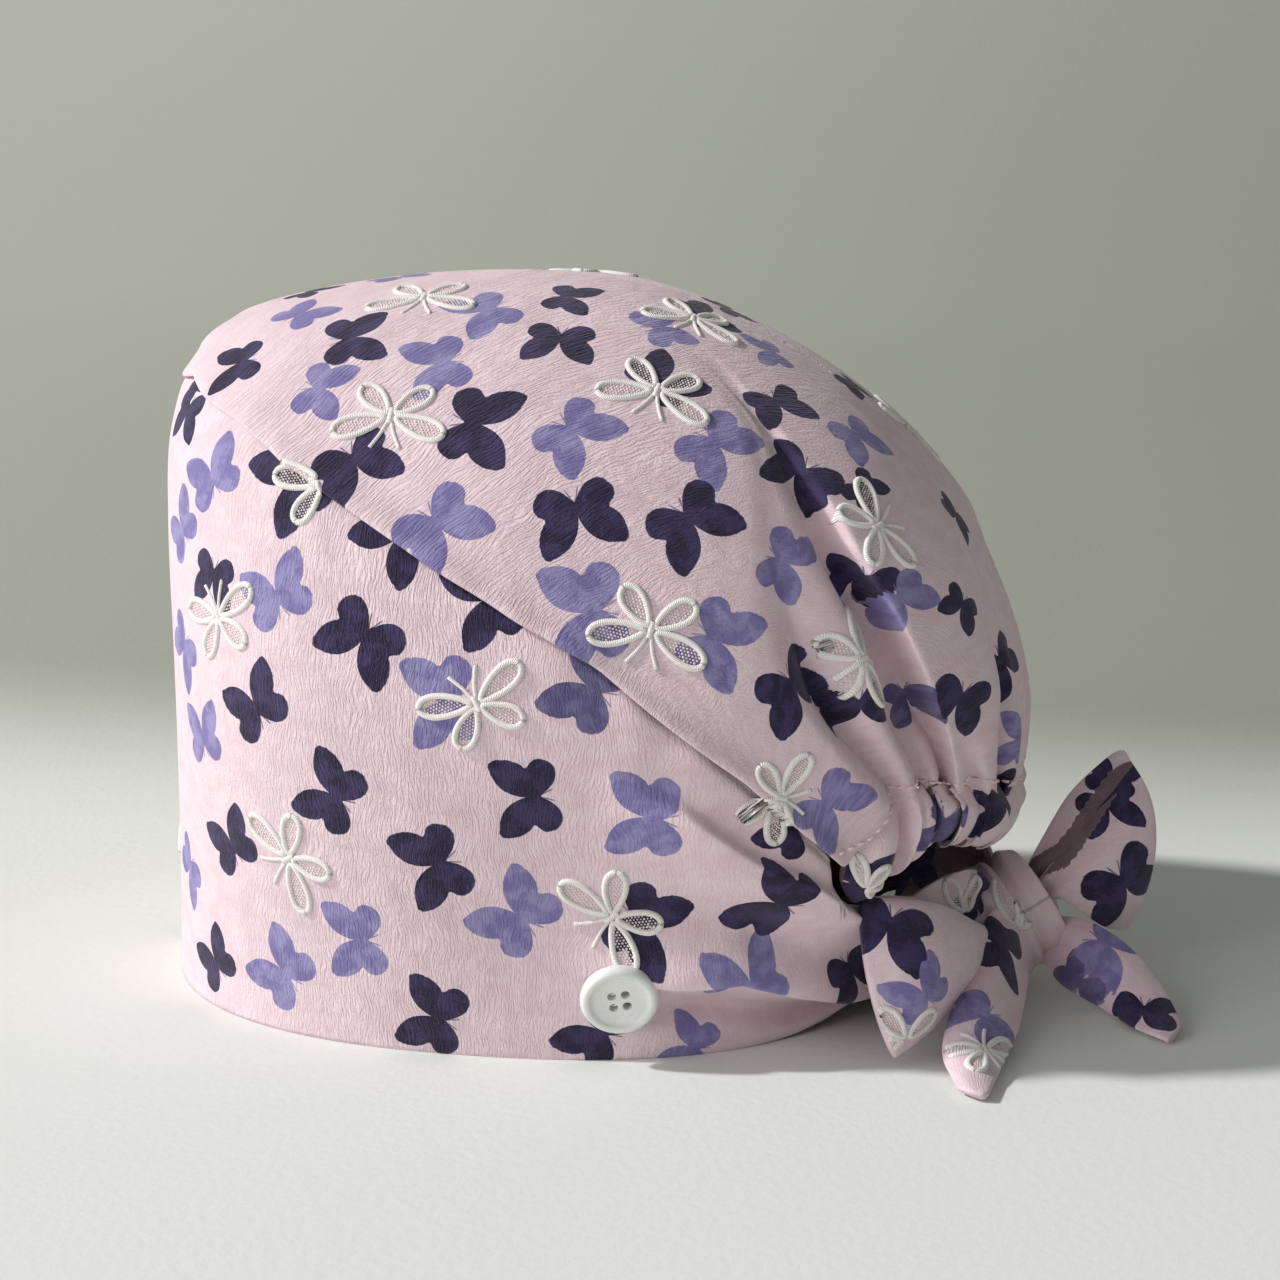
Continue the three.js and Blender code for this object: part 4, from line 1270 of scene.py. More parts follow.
CROWN_MOTIFS = (
    Motif(301, 314, 60, 0.85, L), Motif(310, 292, 90, 0.7, D), Motif(351, 338, 80, 1.0, D),
    Motif(401, 277, 300, 0.8, L), Motif(487, 310, 250, 1.0, L), Motif(568, 297, 100, 0.8, D),
    Motif(560, 339, 190, 0.9, D), Motif(441, 363, 255, 0.98, L), Motif(320, 388, 100, 0.85, L),
    Motif(475, 424, 100, 1.1, D), Motif(355, 462, 150, 1.0, D), Motif(241, 362, 250, 0.8, D),
    Motif(438, 525, 140, 1.08, L), Motif(573, 431, 130, 1.0, L), Motif(577, 512, 165, 1.05, D),
    Motif(663, 380, 60, 0.9, D), Motif(660, 327, 80, 0.85, L), Motif(700, 313, 90, 0.9, D),
    Motif(726, 308, 100, 0.7, D), Motif(785, 333, 110, 0.55, L), Motif(771, 352, 280, 0.7, L),
    Motif(716, 443, 130, 1.0, L), Motif(690, 520, 140, 1.05, D), Motif(590, 612, 260, 1.2, L),
    Motif(716, 640, 120, 1.0, L), Motif(777, 403, 140, 0.8, D), Motif(852, 384, 130, 0.65, D),
    Motif(857, 435, 140, 0.85, L), Motif(798, 472, 215, 1.0, D), Motif(783, 561, 120, 0.85, L),
    Motif(854, 580, 120, 0.8, D), Motif(865, 488, 130, 0.6, D), Motif(902, 600, 140, 0.75, L),
    Motif(794, 687, 150, 1.0, D), Motif(861, 706, 160, 0.7, D), Motif(956, 515, 200, 0.7, D),
    Motif(962, 605, 200, 0.6, D), Motif(960, 700, 190, 0.78, D), Motif(1003, 662, 150, 0.85, D),
    Motif(1019, 739, 260, 0.7, L), Motif(935, 454, 130, 0.7, D), Motif(971, 498, 130, 0.5, D),
    Motif(994, 545, 130, 0.5, D), Motif(828, 805, 130, 0.95, L), Motif(1004, 800, 170, 0.9, D),
    Motif(905, 695, 160, 0.65, P),
)
CASING_MOTIFS = (
    Motif(941, 826, 200, 0.9, P), Motif(1003, 803, 190, 0.9, D), Motif(862, 884, 90, 0.8, D),
)
CAP_MOTIFS = {"front_band": BAND_MOTIFS, "crown_panel": CROWN_MOTIFS, "back_casing": CASING_MOTIFS}
SEEDS = {"front_band": 11, "crown_panel": 12, "back_casing": 13, "tie_right": 14}
BOW_MOTIFS = {
    "bow_loop_left": (Motif(889, 926, 200, 1.05, D), Motif(925, 995, 330, 0.8, L)),
    "bow_loop_right": (
        Motif(1124, 884, 150, 1.1, D), Motif(1107, 806, 160, 0.8, D), Motif(1056, 806, 200, 0.7, D),
        Motif(1112, 778, 20, 0.7, D),
    ),
    "tie_tail_left": (Motif(1003, 946, 130, 1.0, D), Motif(984, 1016, 250, 0.95, L)),
    "tie_tail_right": (
        Motif(1106, 944, 120, 1.0, L), Motif(1080, 984, 200, 0.8, P), Motif(1143, 1012, 200, 0.85, D),
    ),
    "tie_left": (Motif(975, 905, 160, 0.9, D),),
}


class Stitched(NamedTuple):
    """An embroidered butterfly: its pixel, where its head points in the picture, and its size.

    petals are the ones that are sewn: 0 and 1 are the long pair, 2 and 3 the short pair.
    """

    x: float
    y: float
    head: float
    size: float
    petals: tuple[int, ...] = (0, 1, 2, 3)
    feelers: bool = True


CAP_STITCHED = (
    Stitched(219, 617, 350, 1.0), Stitched(289, 858, 240, 1.0), Stitched(477, 704, 335, 1.0),
    Stitched(612, 917, 235, 1.02), Stitched(391, 416, 190, 1.02), Stitched(424, 298, 200, 1.0),
    Stitched(321, 479, 0, 0.95, (1, 3), False), Stitched(657, 391, 200, 1.0), Stitched(693, 319, 200, 0.9),
    Stitched(651, 630, 195, 1.02), Stitched(905, 424, 150, 0.9), Stitched(877, 526, 64, 0.9),
    Stitched(862, 659, 69, 0.9), Stitched(781, 798, 100, 0.8), Stitched(180, 948, 20, 0.9),
    Stitched(866, 888, 270, 0.62, (0, 2, 3), False),
)
FAR_EVERY = 5  # every fifth scattered butterfly has a stitched one beside it
FAR_BESIDE = 9.0  # mm between the two
BOW_STITCHED = {
    "bow_loop_left": (Stitched(906, 1039, 190, 0.85, (0, 2, 3), False),),
    "tie_tail_left": (Stitched(985, 1051, 336, 0.8),),
    "tie_left": (Stitched(965, 914, 243, 0.85, (0, 2), False),),
    "knot_wrap": (Stitched(1017, 930, 269, 0.95, (0, 2), False),),
}


@dataclass(frozen=True)
class Chart:
    """Places butterflies on cloth by the photograph's pixels, and by chance where it shows none."""

    form: BVHTree  # the plain form, for motifs that a seam cuts through
    reach: float = 14.2  # mm from a butterfly's middle to its longest wing tip
    tries: int = 5000
    sizes: tuple[float, float] = (0.95, 1.12)  # of scattered motifs

    def hit(self, trees: Sequence[BVHTree], x: float, y: float) -> tuple[Points, Points, int] | None:
        """Find what a pixel shows.

        Args:
            trees: the cloth.
            x: the photograph's column.
            y: its row.

        Returns:
            The nearest place, the way out of it and its face, or None where there is no cloth.
        """
        eye, ray = Vector(VIEW.eye()), Vector(VIEW.ray(x, y))
        best = None
        for tree in trees:
            place, normal, face, distance = tree.ray_cast(eye, ray)
            if place is not None and (best is None or distance < best[0]):
                best = (distance, np.array(place), np.array(normal), face)
        if best is None:
            return None
        normal = best[2] if best[2] @ np.array(ray) < 0 else -best[2]
        return best[1], normal, best[3]

    def facing(self, normal: Points, turn: float) -> Points:
        """Find the direction along a surface that points a given way in the picture.

        Args:
            normal: the way out of the surface.
            turn: degrees from up, clockwise.

        Returns:
            A unit vector.
        """
        back, right, up = VIEW.axes()
        angle = math.radians(turn)
        wanted = up * math.cos(angle) + right * math.sin(angle)
        slope = (normal @ wanted) / max(normal @ back, 0.2)
        return unit(wanted - back * slope - normal * (normal @ (wanted - back * slope)))

    def spot(
        self, place: Points, normal: Points, ahead: Points, size: float, tone: float
    ) -> Spot:
        """Make a spot with square axes.

        Args:
            place: its middle.
            normal: the way out of the cloth.
            ahead: where it points.
            size: its size, 1 being usual.
            tone: its ink, from dark to light.

        Returns:
            The spot.
        """
        ahead = unit(ahead - normal * (ahead @ normal))
        return Spot(place, np.cross(ahead, normal), ahead, normal, self.reach * size, tone)

    def by_pixels(self, piece: ClothPiece, motifs: Sequence[Motif]) -> None:
        """Add the charted motifs to a piece; one whose middle is hidden is placed on the plain form.

        Args:
            piece: the cloth.
            motifs: the motifs.
        """
        for motif in motifs:
            found = self.hit([piece.tree], motif.x, motif.y)
            shift = np.zeros(3)
            if found is None:
                found = self.hit([self.form], motif.x, motif.y)
            else:
                corners = piece.faces[found[2]]
                shift = np.mean(piece.plain[corners] - piece.vertices[corners], axis=0)
                a, b, c = piece.plain[corners[:3]]
                flat = np.cross(b - a, c - a)
                if np.linalg.norm(flat) > 0:
                    flat = unit(flat)
                    found = (found[0], flat if flat @ found[1] > 0 else -flat, found[2])
            if found is None:
                log.info("no place for the motif at %d, %d", motif.x, motif.y)
                continue
            place, normal, _ = found
            ahead = self.facing(normal, motif.turn)
            piece.spots.append(
                self.spot(place + shift, normal, ahead, motif.size, motif.tone.value)
            )

    def by_chance(
        self, piece: ClothPiece, seed: int, apart: float, keep: Callable[[Points], NDArray[np.bool_]]
    ) -> None:
        """Scatter motifs where the photograph shows none.

        Args:
            piece: the cloth.
            seed: start of the random draws.
            apart: least distance between two middles, in mm.
            keep: tells which places may take a motif.
        """
        rng = np.random.default_rng(seed)
        sides = np.array([len(face) for face in piece.faces])
        corners = np.array([face[0] for face in piece.faces])
        open_faces = np.nonzero((sides == 4) & keep(piece.plain[corners]))[0]
        for face in rng.choice(open_faces, min(len(open_faces), self.tries), replace=False):
            ring = piece.faces[face]
            place = piece.plain[ring].mean(axis=0)
            near = [np.linalg.norm(place - spot.centre) for spot in piece.spots]
            if near and min(near) < apart * MM:
                continue
            normal = np.array(piece.mesh.polygons[face].normal)
            out = np.array([place[0], place[1] - AXIS_Y * MM, place[2] - 0.05])
            if normal @ out < 0:
                continue
            ahead = unit(np.cross(normal, rng.normal(size=3)))
            tone = rng.choice([Tone.DARK.value, Tone.DARK.value, Tone.LAVENDER.value])
            size = float(rng.uniform(*self.sizes))
            piece.spots.append(self.spot(place, unit(normal), ahead, size, float(tone)))


@dataclass
class Embroidery:
    """Butterflies stitched in white thread: four corded petals filled with small knots."""

    deep: float = 8.0  # a fold deeper than this, in mm, hides the thread
    least_slope: float = 0.2
    cord: float = 0.88
    knot: float = 0.34
    pitch: float = 0.9
    reach: float = 0.02  # metres above the cloth from which the thread is laid
    search: float = 0.03  # metres below the motif's plane to which cloth is looked for
    petals: tuple[tuple[float, float, float, float], ...] = (
        (71.0, 1.8, 15.8, 6.6), (134.0, 1.6, 12.8, 6.4),
    )  # angle, start, end, width
    vertices: list[Points] = field(default_factory=list)
    faces: list[list[int]] = field(default_factory=list)
    lays: list[Points] = field(default_factory=list)
    count: int = 0

    def sew(self, chart: Chart, tree: BVHTree, rows: Sequence[Stitched]) -> None:
        """Sew the charted butterflies on a piece of cloth.

        Args:
            chart: finds their places.
            tree: the cloth.
            rows: the butterflies.
        """
        for row in rows:
            found = chart.hit([tree], row.x, row.y)
            if found is not None:
                place, normal, _ = found
                ahead = chart.facing(normal, row.head)
                self.stitch(chart.spot(place, normal, ahead, row.size, 0.0), tree, row)

    def sew_beside(self, spots: Sequence[Spot], tree: BVHTree, shift: float) -> None:
        """Sew a butterfly beside each printed one.

        Args:
            spots: the printed butterflies.
            tree: the cloth.
            shift: how far beside, in mm.
        """
        for spot in spots:
            centre = spot.centre + spot.across * shift * MM
            self.stitch(replace(spot, centre=centre), tree, Stitched(0, 0, 0, 1.0))

    def petal(self, angle: float, start: float, end: float, width: float) -> Points:
        """The closed outline of a petal.

        Args:
            angle: degrees from the head.
            start: mm from the middle to its foot.
            end: mm from the middle to its tip.
            width: its width in mm.

        Returns:
            Places in mm round the butterfly's middle.
        """
        turn = np.linspace(0, 2 * math.pi, 41)[:-1]
        along = (start + end) / 2 + (end - start) / 2 * np.cos(turn)
        wide = width / 2 * np.sin(turn) * (0.82 + 0.28 * np.cos(turn))
        a = math.radians(angle)
        return np.stack([along * math.sin(a) + wide * math.cos(a),
                         along * math.cos(a) - wide * math.sin(a)], axis=-1)

    def design(self, row: Stitched) -> tuple[list[tuple[Points, bool, float]], Points]:
        """Cords and knots of one butterfly.

        Args:
            row: its size and which petals it has.

        Returns:
            The cords, each with whether it is closed and its radius, and the knots' places.
        """
        cords: list[tuple[Points, bool, float]] = []
        knots: list[Points] = []
        for petal in row.petals:
            angle, start, end, width = self.petals[petal // 2]
            outline = self.petal(angle if petal % 2 == 0 else -angle, start, end, width)
            cords.append((outline * row.size, True, self.cord))
            knots.append(self.filling(outline) * row.size)
        for side in (1, -1) if row.feelers else ():
            share = np.linspace(0, 1, 14)
            x = side * (0.5 + 3.6 * share**1.5)
            y = 1.0 + 8.4 * share
            cords.append((np.stack([x, y], -1) * row.size, False, self.cord * 0.62))
        if row.feelers:
            share = np.linspace(-2.2, 2.2, 9)
            cords.append((np.stack([0 * share, share], -1) * row.size, False, self.cord * 1.1))
        return cords, np.concatenate(knots)

    def filling(self, outline: Points) -> Points:
        """Fill an outline with knots on a slanting lattice.

        Args:
            outline: the petal's outline.

        Returns:
            The knots' places.
        """
        low, high = outline.min(axis=0), outline.max(axis=0)
        places = []
        middle = outline.mean(axis=0)
        for j, y in enumerate(np.arange(low[1], high[1], self.pitch * 0.87)):
            for x in np.arange(low[0] + (j % 2) * self.pitch / 2, high[0], self.pitch):
                place = np.array([x, y])
                away = place - middle
                angles = np.arctan2(*(outline - middle).T[::-1])
                nearest = np.argmin(np.abs(wrapped(np.degrees(angles - math.atan2(away[1], away[0])))))
                if np.linalg.norm(away) < np.linalg.norm(outline[nearest] - middle) - self.cord * 1.2:
                    places.append(place)
        return np.array(places)

    def stitch(self, spot: Spot, tree: BVHTree, row: Stitched) -> None:
        """Sew one butterfly, as far as the cloth reaches.

        Args:
            spot: its place.
            tree: the cloth.
            row: its size and petals.
        """
        cords, knots = self.design(row)
        for line, closed, radius in cords:
            shown = self.on_cloth(spot, tree, line, np.zeros(len(line)))[1]
            if shown.all():
                self.lay_cord(spot, tree, line, closed, radius)
                continue
            first = int(np.argmin(shown)) if closed else 0
            line, shown = np.roll(line, -first, 0), np.roll(shown, -first)
            edges = np.nonzero(np.diff(np.concatenate([[0], shown.astype(int), [0]])))[0]
            for low, high in zip(edges[::2], edges[1::2]):
                if high - low > 3:
                    self.lay_cord(spot, tree, line[low:high], False, radius)
        shown = self.on_cloth(spot, tree, knots, np.zeros(len(knots)))[1]
        for k, place in enumerate(knots[shown]):
            self.lay_knot(spot, tree, place, self.knot * (0.8 + 0.4 * ((k * 7) % 5) / 4))

    def on_cloth(
        self, spot: Spot, tree: BVHTree, flat: Points, high: Points
    ) -> tuple[Points, NDArray[np.bool_]]:
        """Lay flat places on the cloth, standing out by the heights, in metres.

        Args:
            spot: the butterfly's place.
            tree: the cloth.
            flat: places in the butterfly's own plane, in mm.
            high: heights above the cloth, in mm.

        Returns:
            The places, and which of them lie on cloth that faces out.
        """
        placed, shown = [], []
        outward = Vector(spot.outward)
        for (x, y), h in zip(flat, high):
            start = Vector(spot.centre + (spot.across * x + spot.ahead * y) * MM)
            above = start + outward * self.reach
            hit, normal, _, distance = tree.ray_cast(above, -outward, self.reach + self.search)
            on_it = hit is not None and abs(distance - self.reach) < self.deep * MM
            if not on_it:
                hit, normal, _, _ = tree.find_nearest(start)
            if normal.dot(outward) < 0:
                normal = -normal
            lifted = (normal + outward).normalized()
            placed.append(np.array(hit + lifted * (h * MM)))
            shown.append(on_it and normal.dot(outward) > self.least_slope)
        return np.array(placed), np.array(shown)

    def lay_cord(
        self, spot: Spot, tree: BVHTree, line: Points, closed: bool, radius: float
    ) -> None:
        """Sew a raised cord along a line.

        Args:
            spot: the butterfly's place.
            tree: the cloth.
            line: places in the butterfly's plane, in mm.
            closed: whether the line's end joins its start.
            radius: half the cord's width, in mm.
        """
        if closed:
            ahead = unit(np.roll(line, -1, 0) - np.roll(line, 1, 0))
        else:
            ahead = unit(np.gradient(line, axis=0))
        beside = np.stack([-ahead[:, 1], ahead[:, 0]], axis=-1)
        turns = np.radians([-8, 25, 60, 90, 120, 155, 188, 270])
        count = len(turns)
        flat = line[:, None, :] + beside[:, None, :] * (radius * np.cos(turns))[None, :, None]
        rise = radius * 0.95 * np.sin(turns) * np.where(turns > 4, 0.35, 1)
        high = np.broadcast_to(rise, flat.shape[:2])
        placed = self.on_cloth(spot, tree, flat.reshape(-1, 2), high.reshape(-1))[0]
        ids = self.count + np.arange(len(line) * count).reshape(len(line), count)
        self.faces += faces_of(ids, closed, closed=True)
        steps = np.linalg.norm(np.diff(line, axis=0), axis=1)
        run = np.concatenate([[0.0], np.cumsum(steps)])
        lay = np.zeros((len(line), count, 3))
        lay[..., 0] = run[:, None]
        lay[..., 1] = np.degrees(turns) / 90
        lay[..., 2] = 1.0
        self.keep(placed, lay.reshape(-1, 3))

    def lay_knot(self, spot: Spot, tree: BVHTree, place: Points, radius: float) -> None:
        """Sew a small raised knot.

        Args:
            spot: the butterfly's place.
            tree: the cloth.
            place: its place in the butterfly's plane, in mm.
            radius: half its width, in mm.
        """
        turns = np.linspace(0, 2 * math.pi, 7)[:-1]
        ring = np.stack([np.cos(turns), np.sin(turns)], axis=-1)
        flat = np.concatenate([place + ring * radius, place + ring * radius * 0.72, [place], [place]])
        high = np.concatenate([np.full(6, -0.05), np.full(6, radius * 0.62), [radius * 0.9], [-0.08]])
        placed = self.on_cloth(spot, tree, flat, high)[0]
        first = self.count
        for k in range(6):
            n = (k + 1) % 6
            self.faces.append([first + k, first + n, first + 6 + n, first + 6 + k])
            self.faces.append([first + 6 + k, first + 6 + n, first + 12])
            self.faces.append([first + n, first + k, first + 13])
        self.keep(placed, np.zeros((14, 3)))

    def keep(self, placed: Points, lays: Points) -> None:
        """Store new vertices.

        Args:
            placed: their places.
            lays: how the thread lies there.
        """
        self.vertices.append(placed)
        self.lays.append(lays)
        self.count += len(placed)

    def mesh(self, name: str) -> bpy.types.Mesh:
        """Join all that was sewn.

        Args:
            name: the mesh's name.

        Returns:
            The mesh.
        """
        made = mesh_of(name, np.concatenate(self.vertices), self.faces)
        set_points(made, "lay", np.concatenate(self.lays))
        return made


class Group:
    """A shader node group being built, with short calls for its nodes."""

    def __init__(
        self, name: str, inputs: Sequence[tuple[str, str]], outputs: Sequence[tuple[str, str]]
    ) -> None:
        """Make the group and its sockets.

        Args:
            name: the group's name.
            inputs: names and kinds of what it takes.
            outputs: names and kinds of what it gives.
        """
        self.tree = bpy.data.node_groups.new(name, "ShaderNodeTree")
        for label, kind in inputs:
            self.tree.interface.new_socket(label, in_out="INPUT", socket_type=kind)
        for label, kind in outputs:
            self.tree.interface.new_socket(label, in_out="OUTPUT", socket_type=kind)
        self.given = self.tree.nodes.new("NodeGroupInput").outputs
        self.result = self.tree.nodes.new("NodeGroupOutput").inputs

    def give(self, label: str, socket: bpy.types.NodeSocket) -> None:
        """Put a value out of the group."""
        self.tree.links.new(socket, self.result[label])


class Wiring:
    """Short calls that add nodes to a tree and link them."""

    def __init__(self, tree: bpy.types.NodeTree) -> None:
        """Work in one tree."""
        self.tree = tree

    def node(self, kind: str, *feeds: object, **settings: object) -> bpy.types.Node:
        """Add a node.

        Args:
            kind: the node's type, without its ShaderNode prefix.
            feeds: what its inputs get in order: a socket, a value, or None to leave one.
            settings: properties of the node.

        Returns:
            The new node.
        """
        made = self.tree.nodes.new("ShaderNode" + kind)
        for name, value in settings.items():
            setattr(made, name, value)
        for socket, feed in zip(made.inputs, feeds):
            self.feed(socket, feed)
        return made

    def feed(self, socket: bpy.types.NodeSocket, feed: object) -> None:
        """Link a socket or set its value.

        Args:
            socket: the input.
            feed: a socket to link, a value to set, or None to leave it.
        """
        if isinstance(feed, bpy.types.NodeSocket):
            self.tree.links.new(feed, socket)
        elif feed is not None:
            socket.default_value = feed

    def maths(self, operation: str, *feeds: object) -> bpy.types.NodeSocket:
        """The result of a math node."""
        return self.node("Math", *feeds, operation=operation).outputs[0]

    def scaled(self, u: object, v: object, by_u: float, by_v: float) -> bpy.types.NodeSocket:
        """A place from two coordinates, each scaled."""
        across, along = self.maths("MULTIPLY", u, by_u), self.maths("MULTIPLY", v, by_v)
        return self.node("CombineXYZ", across, along).outputs[0]

    def blend(self, share: object, first: object, second: object) -> bpy.types.NodeSocket:
        """Mix two colours.

        Args:
            share: how much of the second.
            first: a colour.
            second: another.

        Returns:
            The mixed colour.
        """
        made = self.tree.nodes.new("ShaderNodeMix")
        made.data_type = "RGBA"
        for index, feed in ((0, share), (6, first), (7, second)):
            self.feed(made.inputs[index], feed)
        return made.outputs[2]

    def spread(
        self, value: object, low: float, high: float, to_low: float, to_high: float
    ) -> bpy.types.NodeSocket:
        """Map a value softly from one range to another.

        Args:
            value: the value.
            low: start of its range.
            high: end of its range.
            to_low: what low becomes.
            to_high: what high becomes.

        Returns:
            The mapped value.
        """
        made = self.node("MapRange", value, low, high, to_low, to_high, interpolation_type="SMOOTHSTEP")
        return made.outputs[0]

    def noise(self, place: object, scale: float, detail: float, rough: float = 0.5) -> bpy.types.NodeSocket:
        """The value of a noise texture.

        Args:
            place: where it is read.
            scale: how fine it is.
            detail: its octaves.
            rough: how strong the finer ones are.

        Returns:
            The value, around a half.
        """
        made = self.tree.nodes.new("ShaderNodeTexNoise")
        self.feed(made.inputs["Vector"], place)
        made.inputs["Scale"].default_value = scale
        made.inputs["Detail"].default_value = detail
        made.inputs["Roughness"].default_value = rough
        return made.outputs["Fac"]


# Butterfly outline: angle from the pointed wings' side in degrees, and reach as a share of the longest.
WING_OUTLINE = (
    (0, 0.10), (8, 0.24), (16, 0.44), (24, 0.62), (32, 0.77), (40, 0.91), (46, 1.0), (52, 0.98),
    (58, 0.92), (64, 0.86), (74, 0.74), (82, 0.64), (88, 0.575), (93, 0.61), (98, 0.69), (106, 0.755),
    (114, 0.78), (122, 0.78), (131, 0.76), (140, 0.695), (147, 0.61), (153, 0.51), (160, 0.38),
    (169, 0.25), (180, 0.19),
)


def butterfly_group() -> bpy.types.NodeTree:
    """A printed butterfly: a mask from a place inside the motif, with wavering edges and feelers.

    Returns:
        The node group.
    """
    group = Group(
        "butterfly_print",
        [("Place", "NodeSocketVector"), ("Weave", "NodeSocketVector")],
        [("Mask", "NodeSocketFloat"), ("Tone", "NodeSocketFloat"), ("Wash", "NodeSocketFloat")],
    )
    w = Wiring(group.tree)
    x, y, tone = w.node("SeparateXYZ", group.given["Place"]).outputs
    across = w.maths("ABSOLUTE", x)
    angle = w.maths("DIVIDE", w.maths("ARCTAN2", across, y), math.pi)
    curve = group.tree.nodes.new("ShaderNodeFloatCurve")
    line = curve.mapping.curves[0]
    points = [(a / 180, r) for a, r in WING_OUTLINE]
    line.points[0].location, line.points[1].location = points[0], points[-1]
    for point in points[1:-1]:
        line.points.new(*point)
    curve.mapping.update()
    w.feed(curve.inputs["Value"], angle)
    length = w.maths("SQRT", w.maths("ADD", w.maths("MULTIPLY", x, x), w.maths("MULTIPLY", y, y)))
    waver = w.noise(group.given["Weave"], 0.9, 2.0)
    edge = w.maths("MULTIPLY_ADD", waver, 0.05, length)
    edge = w.maths("SUBTRACT", edge, w.maths("ADD", curve.outputs["Value"], 0.025))
    wings = w.spread(edge, 0.012, -0.012, 0.0, 1.0)
    back = w.maths("MULTIPLY", y, -1.0)
    bow = w.maths("MULTIPLY_ADD", w.maths("SUBTRACT", back, 0.18), 0.38, 0.02)
    off = w.maths("ABSOLUTE", w.maths("SUBTRACT", across, bow))
    feeler = w.spread(off, 0.022, 0.008, 0.0, 1.0)
    feeler = w.maths("MULTIPLY", feeler, w.spread(back, 0.1, 0.16, 0.0, 1.0))
    feeler = w.maths("MULTIPLY", feeler, w.spread(back, 0.46, 0.40, 0.0, 0.8))
    group.give("Mask", w.maths("MAXIMUM", wings, feeler))
    group.give("Tone", tone)
    group.give("Wash", w.noise(group.given["Weave"], 0.16, 3.0, 0.6))
    return group.tree


def crepe_group() -> bpy.types.NodeTree:
    """Crinkled crepe: long thin puckers along the weave and a fine grain, as a height and as how high the
    crinkles rise, which the cloth uses for painted shade and highlights.

    Returns:
        The node group.
    """
    group = Group(
        "crepe_weave",
        [("Weave", "NodeSocketVector")],
        [("Height", "NodeSocketFloat"), ("CrinkleRise", "NodeSocketFloat")],
    )
    w = Wiring(group.tree)
    u, v, strength = w.node("SeparateXYZ", group.given["Weave"]).outputs
    bend = w.noise(w.scaled(u, v, 0.05, 0.05), 1.0, 2.0)
    bent = w.maths("MULTIPLY_ADD", bend, 9.0, u)
    pucker = w.spread(w.noise(w.scaled(bent, v, 1.75, 0.24), 1.0, 2.0, 0.55), 0.34, 0.66, 0.0, 1.0)
    fine = w.noise(w.scaled(bent, v, 2.6, 1.4), 1.0, 2.0, 0.6)
    grain = w.noise(w.node("CombineXYZ", u, v).outputs[0], 1.9, 2.0)
    height = w.maths("MULTIPLY", pucker, w.maths("MULTIPLY", strength, 0.75))
    height = w.maths("MULTIPLY_ADD", fine, w.maths("MULTIPLY_ADD", strength, 0.45, 0.25), height)
    height = w.maths("MULTIPLY_ADD", grain, 0.5, height)
    group.give("Height", height)
    # how high the crinkles rise, for painted shade in their hollows and painted highlights on them
    group.give("CrinkleRise", w.maths("MULTIPLY_ADD", grain, 0.55, w.maths("MULTIPLY", fine, 0.45)))
    return group.tree


def linear(red: int, green: int, blue: int) -> tuple[float, float, float, float]:
    """A display colour, from 0 to 255 each, as the linear colour that shaders take."""
    shares = [value / 255 for value in (red, green, blue)]
    return (*[s / 12.92 if s <= 0.04045 else ((s + 0.055) / 1.055) ** 2.4 for s in shares], 1.0)


class Finish:
    """A material with its Principled shader and wiring."""

    def __init__(self, name: str) -> None:
        """Start a material.

        Args:
            name: its name.
        """
        self.material = bpy.data.materials.new(name)
        self.material.use_nodes = True
        self.tree = self.material.node_tree
        self.shader = self.tree.nodes["Principled BSDF"]
        self.wires = Wiring(self.tree)

    def set(self, **values: object) -> None:
        """Set or link the shader's sockets, named with underscores for spaces."""
        for label, value in values.items():
            self.wires.feed(self.shader.inputs[label.replace("_", " ")], value)

    def group(self, tree: bpy.types.NodeTree) -> bpy.types.Node:
        """Place a node group.

        Args:
            tree: the group.

        Returns:
            Its node.
        """
        node = self.tree.nodes.new("ShaderNodeGroup")
        node.node_tree = tree
        return node

    def relief(self, height: bpy.types.NodeSocket, depth: float, strength: float = 1.0) -> None:
        """Feed the shader's normal from a height.

        Args:
            height: the height, from 0 to 1.
            depth: its depth in mm.
            strength: how much of it shows.
        """
        bump = self.tree.nodes.new("ShaderNodeBump")
        bump.inputs["Strength"].default_value = strength
        bump.inputs["Distance"].default_value = depth * MM
        self.wires.feed(bump.inputs["Height"], height)
        self.wires.feed(self.shader.inputs["Normal"], bump.outputs["Normal"])

    def attribute(self, name: str) -> bpy.types.NodeSocket:
        """A stored vector."""
        return self.wires.node("Attribute", attribute_name=name).outputs["Vector"]


